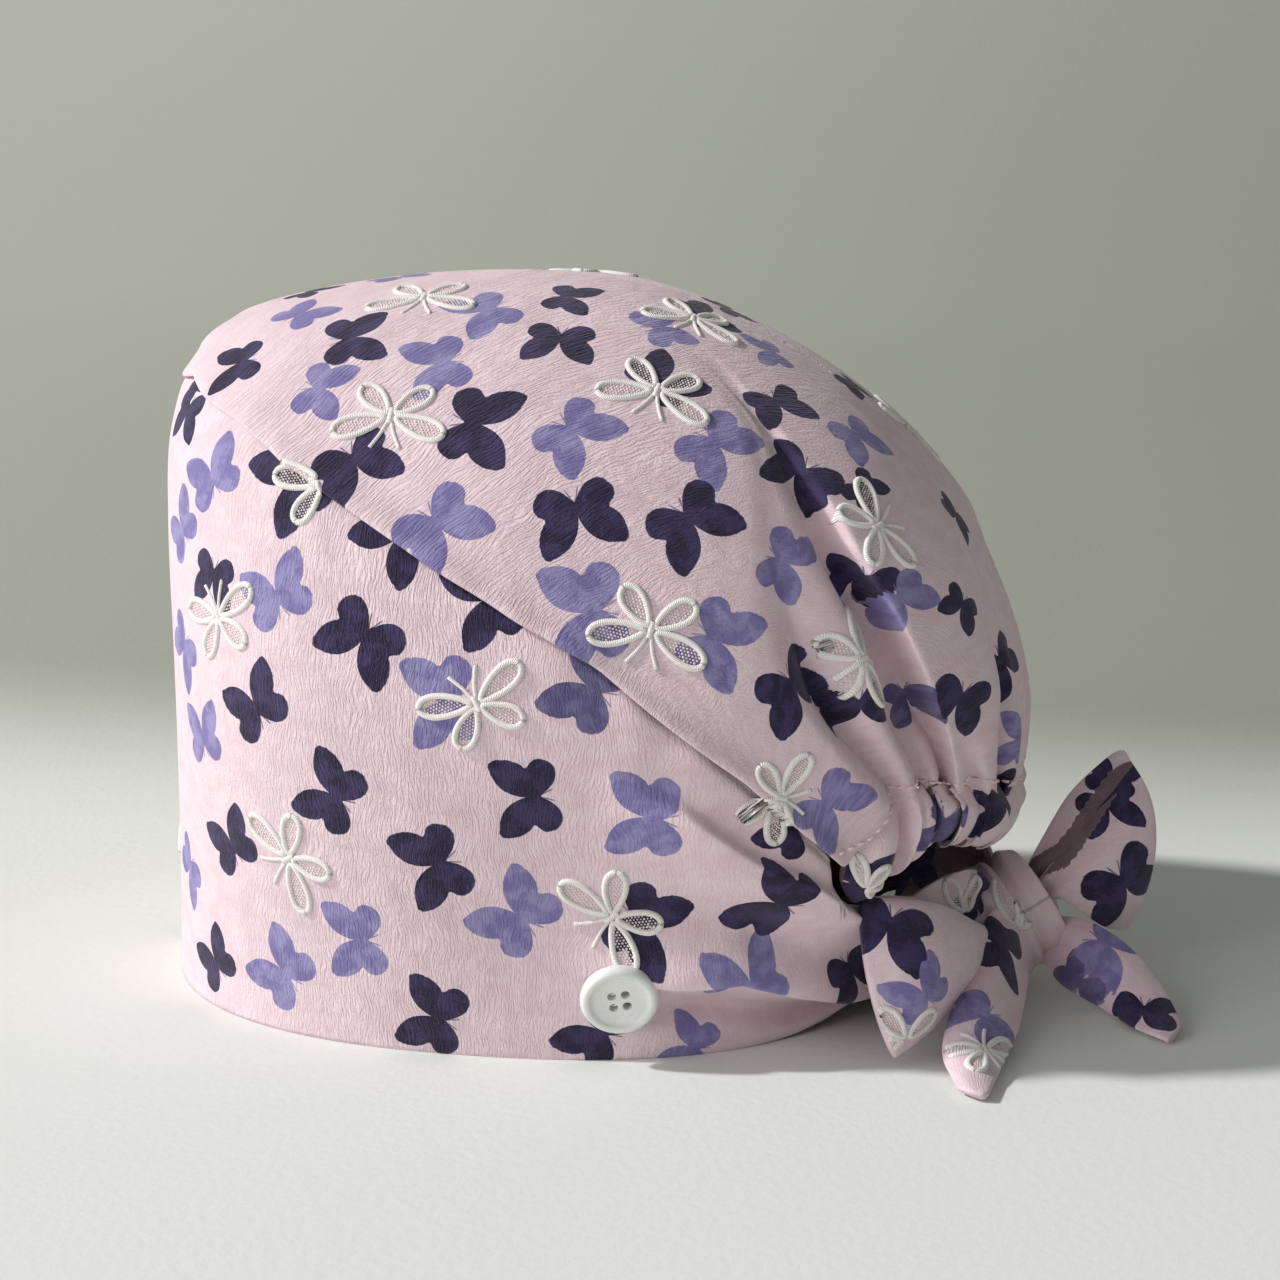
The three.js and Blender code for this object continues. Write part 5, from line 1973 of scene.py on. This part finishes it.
@dataclass(frozen=True)
class PrintedCrepe:
    """Pink crepe with printed butterflies, with painted shade in the crinkles' hollows and on the inner
    faces, and painted highlights on the raised crinkles of the print.
    """

    name: str
    ground: Shade = (227, 202, 210)
    pale: Shade = (234, 212, 219)
    dark: Shade = (60, 51, 88)
    ink: Shade = (38, 31, 58)
    lavender: Shade = (149, 142, 187)
    lilac: Shade = (122, 113, 165)
    # painted shade: a dark brown laid on the inner faces and between the loops' layers, where the cloth lies
    # in shadow
    painted_inside_shade: Shade = (92, 66, 72)
    # painted shade in the crinkles' hollows
    painted_hollow_shade: Shade = (208, 172, 184)
    # painted highlights: lighter inks laid on the raised crinkles of the dark and the lavender print
    dark_painted_highlight: Shade = (104, 95, 140)
    light_painted_highlight: Shade = (172, 164, 205)
    depth: float = 0.30

    def build(self, butterfly: bpy.types.NodeTree, crepe: bpy.types.NodeTree) -> bpy.types.Material:
        """Make the material.

        Args:
            butterfly: the print's node group.
            crepe: the weave's node group.

        Returns:
            The finished material.
        """
        finish = Finish(self.name)
        w = finish.wires
        weave = finish.attribute("weave")
        shapes, under = finish.group(butterfly), finish.group(butterfly)
        for layer, name in ((shapes, "print"), (under, "print_under")):
            w.feed(layer.inputs["Place"], finish.attribute(name))
            w.feed(layer.inputs["Weave"], weave)
        cloth = finish.group(crepe)
        w.feed(cloth.inputs["Weave"], weave)
        # the crinkles' rise drives the painted shade in the hollows and the painted highlights on the crests
        wash, crinkle_rise = shapes.outputs["Wash"], cloth.outputs["CrinkleRise"]
        ground = w.blend(w.spread(wash, 0.35, 0.65, 0, 1), linear(*self.ground), linear(*self.pale))
        # painted shade: the ground darkens where the crinkles sink
        ground = w.blend(w.spread(crinkle_rise, 0.25, 0.6, 0.22, 0.0), ground, linear(*self.painted_hollow_shade))
        side = w.node("SeparateXYZ", finish.attribute("side")).outputs[0]
        # painted shade: inner faces and loop insides turn dark brown, and their print fades
        ground = w.blend(w.spread(side, 0.6, 0.9, 0.0, 0.85), ground, linear(*self.painted_inside_shade))
        dark = w.blend(w.spread(wash, 0.4, 0.62, 0, 1), linear(*self.ink), linear(*self.dark))
        # painted highlight: the dark ink lightens where the crinkles rise
        dark = w.blend(w.spread(crinkle_rise, 0.5, 0.8, 0.0, 0.4), dark, linear(*self.dark_painted_highlight))
        light = w.blend(w.spread(wash, 0.4, 0.62, 0, 1), linear(*self.lilac), linear(*self.lavender))
        # painted highlight: the lavender ink lightens where the crinkles rise
        light = w.blend(w.spread(crinkle_rise, 0.5, 0.8, 0.0, 0.35), light, linear(*self.light_painted_highlight))
        step = w.maths("SUBTRACT", shapes.outputs["Tone"], under.outputs["Tone"])
        tone = w.maths("MULTIPLY_ADD", step, shapes.outputs["Mask"], under.outputs["Tone"])
        ink = w.blend(tone, dark, light)
        both = w.maths("MAXIMUM", shapes.outputs["Mask"], under.outputs["Mask"])
        mask = w.maths("MULTIPLY", both, w.spread(side, 0.6, 0.9, 1.0, 0.2))
        finish.set(Base_Color=w.blend(mask, ground, ink), Roughness=w.spread(crinkle_rise, 0.2, 0.8, 0.93, 0.8))
        finish.set(Specular_IOR_Level=0.25, Sheen_Weight=0.18, Sheen_Roughness=0.5)
        finish.relief(cloth.outputs["Height"], self.depth)
        return finish.material


@dataclass(frozen=True)
class WhiteThread:
    """Raised white embroidery thread, with the twist of its strands and painted shade where its fuzz sinks.
    """

    name: str = "white_thread"
    white: Shade = (252, 248, 243)
    grey: Shade = (236, 226, 222)
    # painted shade where the thread's fuzz sinks
    painted_hollow_shade: Shade = (206, 190, 188)

    def build(self) -> bpy.types.Material:
        """Make the material.

        Returns:
            The finished material.
        """
        finish = Finish(self.name)
        w = finish.wires
        run, round_it, cord = w.node("SeparateXYZ", finish.attribute("lay")).outputs
        slant = w.maths("MULTIPLY_ADD", round_it, 0.35, run)
        strands = w.maths("ABSOLUTE", w.maths("SINE", w.maths("MULTIPLY", slant, 6.5)))
        place = w.node("TexCoord").outputs["Object"]
        fuzz = w.noise(place, 2600.0, 2.0)
        height = w.maths("MULTIPLY_ADD", fuzz, 0.6, w.maths("MULTIPLY", strands, cord))
        tone = w.blend(cord, linear(*self.grey), linear(*self.white))
        # painted shade: darker where the fuzz sinks
        shade = w.blend(w.spread(fuzz, 0.3, 0.7, 0.2, 0.0), tone, linear(*self.painted_hollow_shade))
        finish.set(Base_Color=shade, Roughness=0.72, Specular_IOR_Level=0.35, Sheen_Weight=0.15)
        finish.relief(height, 0.16)
        return finish.material


@dataclass(frozen=True)
class PinkThread:
    """The sewing thread of the casing's stitches."""

    name: str = "pink_thread"
    pink: Shade = (230, 198, 200)
    pale: Shade = (247, 226, 224)

    def build(self) -> bpy.types.Material:
        """Make the material.

        Returns:
            The finished material.
        """
        finish = Finish(self.name)
        w = finish.wires
        place = w.node("TexCoord").outputs["Object"]
        twist = w.noise(place, 2200.0, 2.0)
        finish.set(Base_Color=w.blend(twist, linear(*self.pink), linear(*self.pale)), Roughness=0.6)
        finish.relief(twist, 0.1)
        return finish.material


@dataclass(frozen=True)
class ButtonShell:
    """Glossy white moulded button."""

    name: str = "button_shell"
    shaded: Shade = (226, 229, 223)
    bright: Shade = (234, 236, 231)

    def build(self) -> bpy.types.Material:
        """Make the material.

        Returns:
            The finished material.
        """
        finish = Finish(self.name)
        w = finish.wires
        place = w.node("TexCoord").outputs["Object"]
        cloud = w.noise(place, 160.0, 3.0)
        scuff = w.noise(place, 900.0, 3.0)
        colour = w.blend(w.spread(cloud, 0.3, 0.7, 0, 1), linear(*self.shaded), linear(*self.bright))
        finish.set(Base_Color=colour, Roughness=w.spread(scuff, 0.3, 0.7, 0.24, 0.34))
        finish.set(Coat_Weight=0.35, Coat_Roughness=0.12, Subsurface_Weight=0.0)
        finish.relief(scuff, 0.01)
        return finish.material


@dataclass(frozen=True)
class Button:
    """A sew-through button: raised rim, dished middle and four holes."""

    radius: float = 10.6
    thick: float = 4.2
    holes: int = 4
    hole_radius: float = 1.25
    hole_pitch: float = 2.6
    hole_turn: float = 53.0  # degrees from the button's right to its first hole
    hole_sides: int = 28
    edge: float = 0.22  # mm of rounding at the edges
    segments: int = 96

    def profile(self) -> list[tuple[float, float]]:
        """The outline that is turned.

        Returns:
            Radius and height from the middle of the back, round the rim, to the middle of the front.
        """
        r, t = self.radius, self.thick
        return [
            (0, 0), (r - 2.4, 0), (r - 1.2, 0.1), (r - 0.5, 0.5), (r - 0.12, 1.1), (r, 1.8), (r - 0.08, 2.6),
            (r - 0.35, 3.3), (r - 0.8, 3.85), (r - 1.3, 4.12), (r - 1.8, t), (r - 2.2, t - 0.06),
            (r - 2.55, t - 0.25), (r - 2.85, t - 0.55), (r - 3.2, t - 0.8), (r - 3.9, t - 0.95),
            (r - 5.2, t - 1.08), (r - 7.2, t - 1.16), (0, t - 1.2),
        ]

    def build(self, name: str, node: str, material: bpy.types.Material) -> None:
        """Make the button where its CAD node lies.

        Args:
            name: the piece's name.
            node: the CAD node.
            material: its finish.
        """
        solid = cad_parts[node]
        points = np.array([v.co for v in solid.data.vertices], float)
        middle = points.mean(axis=0)
        axes = np.linalg.svd(points - middle, full_matrices=False)[2]
        out = axes[2]
        away = middle - np.array([0.0, AXIS_Y * MM, middle[2]])
        out = out if out @ away > 0 else -out
        back = middle + out * ((points - middle) @ out).min()
        around = points - middle
        side = around - np.outer(around @ out, out)
        reach = np.linalg.norm(side, axis=1)
        back += side[reach > reach.max() * 0.9].mean(axis=0)
        right = unit(VIEW.axes()[1] - out * (VIEW.axes()[1] @ out))
        up = np.cross(out, right)
        mesh = self.turned(name)
        verts = np.zeros(len(mesh.vertices) * 3)
        mesh.vertices.foreach_get("co", verts)
        local = verts.reshape(-1, 3)
        world = back + np.outer(local[:, 0], right) + np.outer(local[:, 1], up) + np.outer(local[:, 2], out)
        mesh.vertices.foreach_set("co", world.ravel())
        mesh.update()
        add_piece(name, mesh, material, [node])

    def turned(self, name: str) -> bpy.types.Mesh:
        """Turn the button on a lathe and drill it.

        Args:
            name: the piece's name.

        Returns:
            The mesh, with the middle of its back at the origin.
        """
        turn = np.linspace(0, 2 * math.pi, self.segments + 1)[:-1]
        rings = np.array(self.profile()[1:-1]) * MM
        circle = np.stack([np.cos(turn), np.sin(turn)], axis=-1)
        body = np.concatenate([
            np.concatenate([circle * r, np.full((self.segments, 1), z)], axis=1) for r, z in rings
        ])
        ids = np.arange(len(body)).reshape(len(rings), self.segments).T
        faces = faces_of(ids, wrap=True, closed=False)
        bottom, top = len(body), len(body) + 1
        body = np.concatenate([body, [[0, 0, 0]], [[0, 0, self.profile()[-1][1] * MM]]])
        for k in range(self.segments):
            n = (k + 1) % self.segments
            faces.append([int(ids[n, 0]), int(ids[k, 0]), bottom])
            faces.append([int(ids[k, -1]), int(ids[n, -1]), top])
        piece = bpy.data.objects.new(name + "_blank", mesh_of(name, body, faces))
        bpy.context.scene.collection.objects.link(piece)
        drill = self.drills(name)
        cut = piece.modifiers.new("holes", "BOOLEAN")
        cut.operation, cut.object, cut.solver = "DIFFERENCE", drill, "EXACT"
        soften = piece.modifiers.new("soften", "BEVEL")
        soften.width, soften.segments, soften.angle_limit = self.edge * MM, 3, math.radians(50)
        bpy.context.view_layer.update()
        graph = bpy.context.evaluated_depsgraph_get()
        mesh = bpy.data.meshes.new_from_object(piece.evaluated_get(graph))
        bpy.data.objects.remove(piece)
        bpy.data.objects.remove(drill)
        return mesh

    def drills(self, name: str) -> bpy.types.Object:
        """Make round rods where the holes go.

        Args:
            name: the piece's name.

        Returns:
            The rods, as one object.
        """
        sides = self.hole_sides
        turn = np.linspace(0, 2 * math.pi, sides + 1)[:-1]
        parts, faces = [], []
        for k in range(self.holes):
            angle = math.radians(360 / self.holes * k + self.hole_turn)
            x, y = self.hole_pitch * math.cos(angle), self.hole_pitch * math.sin(angle)
            low = np.stack([x + self.hole_radius * np.cos(turn), y + self.hole_radius * np.sin(turn),
                            np.full_like(turn, -2.0)], axis=-1)
            high = low + np.array([0, 0, 9.0])
            first = 2 * sides * k
            parts += [low, high]
            ring = [first + i for i in range(sides)]
            raised = [first + sides + i for i in range(sides)]
            for i in range(sides):
                n = (i + 1) % sides
                faces.append([ring[i], ring[n], raised[n], raised[i]])
            faces += [ring[::-1], raised]
        mesh = mesh_of(name + "_drill", np.concatenate(parts) * MM, faces)
        drill = bpy.data.objects.new(name + "_drill", mesh)
        bpy.context.scene.collection.objects.link(drill)
        return drill


BOW_STRIPS = {
    "bow_loop_left": Strip(LOOP_LEFT, 1.5, 0.9, 1.0, open_by=2.5, away=(0.8, 0.55, 0.1)),
    "bow_loop_right": Strip(LOOP_RIGHT, 1.5, 1.0, 1.0, open_by=5.0, away=(-0.55, -0.45, 0.7)),
    "tie_tail_left": Strip(TAIL_LEFT, 1.5, 0.9, 0.0),
    "tie_tail_right": Strip(TAIL_RIGHT, 1.5, 0.9, 0.0),
    "tie_left": Strip(TIE_LEFT, 2.5, 1.4, 1.0),
    "tie_right": Strip(TIE_RIGHT, 2.5, 1.4, 1.0),
}


@dataclass(frozen=True)
class Bow:
    """The two ties and the bow that they are knotted in."""

    strips: dict[str, Strip] = field(default_factory=BOW_STRIPS.copy)
    wrap_wall: float = 2.6
    wrap_reach: float = 16.0
    core_share: float = 0.9  # of the knot's radii
    front_wrap: tuple[float, float, float] = (14.0, -3.0, 0.0)  # width, beside and proud, in mm
    side_wrap: tuple[float, float, float] = (10.0, 7.5, -0.6)
    apart: float = 26.0  # mm between two scattered motifs

    def build(self, chart: Chart, finish: bpy.types.Material) -> dict[str, ClothPiece]:
        """Make, print and dress the ties, the bow and the knot.

        Args:
            chart: places the print.
            finish: the printed cloth.

        Returns:
            The pieces by the CAD node that each stands for, or by name where there is none.
        """
        ties = {name: ClothPiece(name + "_cloth", strip.sheet()) for name, strip in self.strips.items()}
        ties["bow_knot"] = ClothPiece("knot_core", self.core())
        ties["knot_wrap"] = ClothPiece("knot_wrap", self.wrap(*self.front_wrap))
        ties["knot_wrap_side"] = ClothPiece("knot_wrap_side", self.wrap(*self.side_wrap))
        for name, piece in ties.items():
            chart.by_pixels(piece, BOW_MOTIFS.get(name, ()))
            if name in SEEDS:
                chart.by_chance(piece, SEEDS[name], self.apart, hidden_side)
            piece.print_spots()
            nodes = [] if name.startswith("knot_wrap") else [name]
            add_piece(piece.name, piece.mesh, finish, nodes)
        return ties

    def core(self) -> Sheet:
        """The lump of cloth inside the wrap.

        Returns:
            Its sheet.
        """
        turn = np.linspace(0, 2 * math.pi, 73)[:-1]
        rise = np.linspace(-math.pi / 2, math.pi / 2, 41)[::-1]
        tt, rr = np.meshgrid(turn, rise, indexing="ij")
        way = np.stack([np.cos(rr) * np.cos(tt), np.cos(rr) * np.sin(tt), np.sin(rr)], axis=-1)
        crease = 0.7 * np.sin(9 * way[..., 1] + 7 * way[..., 2] + 2 * way[..., 0])
        points = KNOT_CENTRE + way * (KNOT_RADII * self.core_share + crease[..., None])
        points[:, 0], points[:, -1] = points[0, 0], points[0, -1]
        weave = np.stack([tt * 14, rr * 14, np.full_like(tt, 0.4)], axis=-1)
        return Sheet(points, points.copy(), weave, np.zeros_like(tt), wrap=True, apex=True)

    def wrap(self, width: float, beside: float, proud: float) -> Sheet:
        """A band of cloth wound round the knot, from upper left to lower right.

        Args:
            width: its width in mm.
            beside: how far its middle lies to the right of the knot's middle, in mm.
            proud: how far it stands out past the other band, in mm.

        Returns:
            The band as a closed ring.
        """
        back, right, up = VIEW.axes()
        across = unit(right * 0.86 + up * 0.52)
        down = unit(right * 0.52 - up * 0.86)
        turn = np.linspace(0, 2 * math.pi, 121)[:-1]
        ring = np.linspace(0, 2 * math.pi, 49)[:-1]
        tt, vv = np.meshgrid(turn, ring, indexing="ij")
        waist = 0.62 + 0.38 * np.cos(tt / 2) ** 2
        wide = width / 2 * waist * np.sign(np.cos(vv)) * np.abs(np.cos(vv)) ** 0.8
        curl = 1.5 * np.abs(np.cos(vv)) ** 3
        pleat = 0.5 * np.cos(wide * 1.1 + 0.6)
        thick = self.wrap_wall / 2 * np.sign(np.sin(vv)) * np.abs(np.sin(vv)) ** 0.5
        reach = self.wrap_reach + proud + 1.0 * np.cos(2 * tt) + thick - curl + pleat
        centre = KNOT_CENTRE + across * beside - right * 2.4
        points = (
            centre
            + back * (0.95 * reach * np.cos(tt))[..., None]
            + down * ((reach + 1.0) * np.sin(tt))[..., None]
            + across * wide[..., None]
        )
        weave = np.stack([wide, tt * 16, np.full_like(tt, 0.4)], axis=-1)
        return Sheet(points, points.copy(), weave, np.zeros_like(tt), wrap=True, apex=False)


@dataclass(frozen=True)
class Studio:
    """The pale floor, the plain backdrop and the soft lights, in metres and degrees.

    The fill's power is in watts, and the key's in watts for each square metre.
    """

    floor_back: float = -1.25
    sweep: float = 0.5
    wall_height: float = 3.2
    half_width: float = 14.0
    front: float = 9.0
    key_azimuth: float = 10.0  # from straight ahead of the cap towards the camera
    key_elevation: float = 40.0
    key_distance: float = 2.0
    key_width: float = 4.0
    key_power: float = 2.75
    key_tint: Colour = (1.0, 0.99, 0.975)
    fill_place: tuple[float, float, float] = (1.35, -1.3, 0.7)
    fill_size: float = 1.5
    fill_power: float = 17.0
    fill_tint: Colour = (1.0, 0.98, 1.0)
    air: float = 0.25
    air_tint: Colour = (0.80, 0.82, 0.82)
    aim: tuple[float, float, float] = (0.0, 0.0, 0.08)

    def backdrop(self) -> None:
        """One sheet that runs along the floor, sweeps up and stands as the wall."""
        turn = np.linspace(0, math.pi / 2, 16)
        line = [(self.front, 0.0)]
        line += [(self.floor_back - self.sweep * math.sin(a), self.sweep * (1 - math.cos(a))) for a in turn]
        line.append((self.floor_back - self.sweep, self.wall_height))
        verts = np.array([[x, y, z] for x, z in line for y in (-self.half_width, self.half_width)])
        faces = [[2 * k, 2 * k + 1, 2 * k + 3, 2 * k + 2] for k in range(len(line) - 1)]
        mesh = mesh_of("studio_floor", verts, faces)
        mesh.shade_smooth()
        floor = bpy.data.objects.new("studio_floor", mesh)
        mesh.materials.append(self.paint())
        bpy.context.scene.collection.objects.link(floor)

    def paint(self) -> bpy.types.Material:
        """Pale floor that darkens to a grey green wall, with painted light falloff from lighter on the left
        to darker on the right.

        Returns:
            The finished material.
        """
        finish = Finish("studio_paint")
        w = finish.wires
        place = w.node("TexCoord").outputs["Object"]
        x, y, z = w.node("SeparateXYZ", place).outputs
        # painted light falloff: lighter on the left, darker on the right
        side = w.spread(y, -0.9, 0.7, 0.0, 1.0)
        far = w.blend(side, linear(181, 184, 172), linear(146, 148, 139))
        # painted light: the wall is painted lighter than the far floor to make up for the key light that
        # grazes it
        wall = w.blend(side, linear(214, 217, 204), linear(178, 180, 170))
        near = w.blend(w.spread(x, 0.5, 2.5, 0.0, 1.0), linear(228, 231, 225), linear(200, 203, 197))
        floor = w.blend(w.spread(x, -0.32, -0.1, 0.0, 1.0), far, near)
        colour = w.blend(w.spread(z, 0.02, 0.5, 0.0, 1.0), floor, wall)
        grain = w.noise(place, 320.0, 4.0)
        finish.set(Base_Color=colour, Roughness=0.85, Specular_IOR_Level=0.2)
        finish.relief(grain, 0.25, 0.5)
        return finish.material

    def light(self, name: str, data: bpy.types.Light, place: Vector, power: float, tint: Colour) -> None:
        """Stand a light somewhere and turn it to the cap.

        Args:
            name: the light's name.
            data: the light.
            place: where it stands, in metres.
            power: its strength.
            tint: its colour.
        """
        data.energy, data.color = power, tint
        lamp = bpy.data.objects.new(name, data)
        lamp.location = place
        lamp.rotation_mode = "QUATERNION"
        lamp.rotation_quaternion = (Vector(self.aim) - place).to_track_quat("-Z", "Y")
        bpy.context.scene.collection.objects.link(lamp)

    def build(self) -> None:
        """Set up the stage."""
        self.backdrop()
        azimuth, elevation = math.radians(self.key_azimuth), math.radians(self.key_elevation)
        flat = self.key_distance * math.cos(elevation)
        rise = self.key_distance * math.sin(elevation)
        key = bpy.data.lights.new("key", "SUN")
        key.angle = math.radians(self.key_width)
        place = Vector((flat * math.sin(azimuth), -flat * math.cos(azimuth), rise))
        self.light("key", key, place, self.key_power, self.key_tint)
        fill = bpy.data.lights.new("fill", "AREA")
        fill.size = self.fill_size
        self.light("fill", fill, Vector(self.fill_place), self.fill_power, self.fill_tint)
        world = bpy.data.worlds.new("studio_air")
        world.use_nodes = True
        air = world.node_tree.nodes["Background"]
        air.inputs["Color"].default_value = (*self.air_tint, 1.0)
        air.inputs["Strength"].default_value = self.air
        bpy.context.scene.world = world
        bpy.context.scene.view_settings.view_transform = "Standard"


@dataclass(frozen=True)
class Stitches:
    """The row of stitches that closes the casing.

    A stitch has a ring of vertices at each share of its length, swollen by the swell there.
    """

    line: tuple[Edge, ...] = (
        Edge(141.5, 60), Edge(146, 63), Edge(149, 70), Edge(151.5, 75.5), Edge(153.5, 75.6),
        Edge(157, 73.6), Edge(160.5, 74), Edge(163, 71.5), Edge(172, 65.5), Edge(180, 62.5),
    )
    length: float = 2.2
    gap: float = 0.9
    radius: float = 0.42
    arch: float = 0.45
    sides: int = 8
    shares: tuple[float, ...] = (0.0, 0.06, 0.2, 0.5, 0.8, 0.94, 1.0)
    swell: tuple[float, ...] = (0.25, 0.75, 1.0, 1.0, 1.0, 0.75, 0.25)

    def mesh(self, tree: BVHTree) -> bpy.types.Mesh:
        """Lay the stitches on the cloth, on both sides of the back.

        Args:
            tree: the crown and the casing.

        Returns:
            One mesh of all the stitches.
        """
        angles = np.linspace(self.line[0].phi, 360 - self.line[0].phi, 900)
        places = []
        for phi in angles:
            z = float(edge_height(self.line, wrapped(np.array(phi))))
            way = Vector((math.sin(math.radians(phi)), -math.cos(math.radians(phi)), 0))
            start = Vector(to_frame(np.array([0.0, 0.0, z]))) + way * 0.25
            hit, normal, _, _ = tree.ray_cast(start, -way)
            if hit is not None:
                places.append((np.array(hit), np.array(normal if normal.dot(way) > 0 else -normal)))
        line = np.array([place for place, _ in places])
        normals = np.array([normal for _, normal in places])
        run = np.concatenate([[0.0], np.cumsum(np.linalg.norm(np.diff(line, axis=0), axis=1))]) / MM
        verts, faces = [], []
        turn = np.linspace(0, 2 * math.pi, self.sides + 1)[:-1]
        shares, swell = np.array(self.shares), np.array(self.swell)
        for start in np.arange(0.5, run[-1] - self.length, self.length + self.gap):
            at = start + self.length * shares
            spine = np.stack([np.interp(at, run, line[:, k]) for k in range(3)], axis=-1)
            out = unit(np.stack([np.interp(at, run, normals[:, k]) for k in range(3)], axis=-1))
            ahead = unit(np.gradient(spine, axis=0))
            beside = unit(np.cross(ahead, out))
            arch = (self.arch * np.sin(math.pi * shares) - 0.1)[:, None, None] * MM
            body = spine[:, None] + out[:, None] * arch + self.radius * MM * swell[:, None, None] * (
                beside[:, None] * np.cos(turn)[None, :, None] + out[:, None] * np.sin(turn)[None, :, None]
            )
            count = len(shares) * self.sides
            ids = len(verts) * count + np.arange(count).reshape(len(shares), self.sides)
            faces += faces_of(ids.T.copy(), wrap=True, closed=False)
            faces += [ids[0].tolist()[::-1], ids[-1].tolist()]
            verts.append(body.reshape(-1, 3))
        return mesh_of("casing_stitches", np.concatenate(verts), faces)


class Cut(NamedTuple):
    """How a piece of cloth was cut, in mm, its flat area in square mm, and how it is held."""

    wide: float
    long: float
    area: float
    held: str
    rests_on: str


def joined_tree(pieces: Sequence[ClothPiece]) -> BVHTree:
    """Join several pieces for casting rays.

    Args:
        pieces: the cloth.

    Returns:
        One tree of them all.
    """
    vertices: list[Vector] = []
    faces: list[list[int]] = []
    for piece in pieces:
        first = len(vertices)
        vertices += [Vector(v) for v in piece.vertices]
        faces += [[first + v for v in face] for face in piece.faces]
    return BVHTree.FromPolygons(vertices, faces)


def form_tree() -> BVHTree:
    """Make a tree of the plain form, for motifs that are partly hidden under a seam.

    Returns:
        The tree.
    """
    angles, rows = np.linspace(-180, 180, 145), np.linspace(0, FORM.top - 0.05, 60)
    phi, t = np.meshgrid(angles, rows, indexing="ij")
    points = to_frame(FORM.points(phi, t).reshape(-1, 3))
    faces = faces_of(np.arange(len(points)).reshape(phi.shape), wrap=True, closed=False)
    return BVHTree.FromPolygons([Vector(p) for p in points], faces)


HEAD_MIDDLE = 0.09  # metres above the hem
GRAZING = -0.12  # cloth turned away from the camera by more than this can't be seen


def hidden_side(points: Points) -> NDArray[np.bool_]:
    """Places that the photograph doesn't show: they face away from its camera."""
    away = points - np.array([0.0, AXIS_Y * MM, HEAD_MIDDLE])
    return unit(away * np.array([1, 1, 0.6])) @ VIEW.axes()[0] < GRAZING


def main() -> None:
    """Build the cap and its stage."""
    logging.basicConfig(level=logging.INFO, format="%(message)s")
    VIEW.place_camera()
    Studio().build()
    butterfly, crepe = butterfly_group(), crepe_group()
    cap_cloth = PrintedCrepe("printed_crepe").build(butterfly, crepe)
    tie_cloth = PrintedCrepe("tie_crepe", depth=0.26).build(butterfly, crepe)
    white, pink, shell_finish = WhiteThread().build(), PinkThread().build(), ButtonShell().build()
    chart = Chart(form_tree())
    cap = CapShell().build(chart, cap_cloth)
    ties = Bow().build(chart, tie_cloth)

    whole = joined_tree(list(cap.values()))
    sewn = Embroidery()
    sewn.sew(chart, whole, CAP_STITCHED)
    add_piece("cap_embroidery", sewn.mesh("cap_embroidery"), white)
    far = Embroidery()
    for node in ("front_band", "crown_panel"):
        scattered = cap[node].spots[len(CAP_MOTIFS[node])::FAR_EVERY]
        far.sew_beside(scattered, whole, FAR_BESIDE)
    add_piece("far_embroidery", far.mesh("far_embroidery"), white)
    bowed = Embroidery()
    for name, rows in BOW_STITCHED.items():
        bowed.sew(chart, ties[name].tree, rows)
    add_piece("bow_embroidery", bowed.mesh("bow_embroidery"), white)

    sewing = joined_tree([cap["crown_panel"], cap["back_casing"]])
    add_piece("casing_stitches", Stitches().mesh(sewing), pink)
    for side in ("left", "right"):
        Button().build(f"button_{side}_shell", f"button_{side}", shell_finish)


if __name__ == "__main__":
    main()
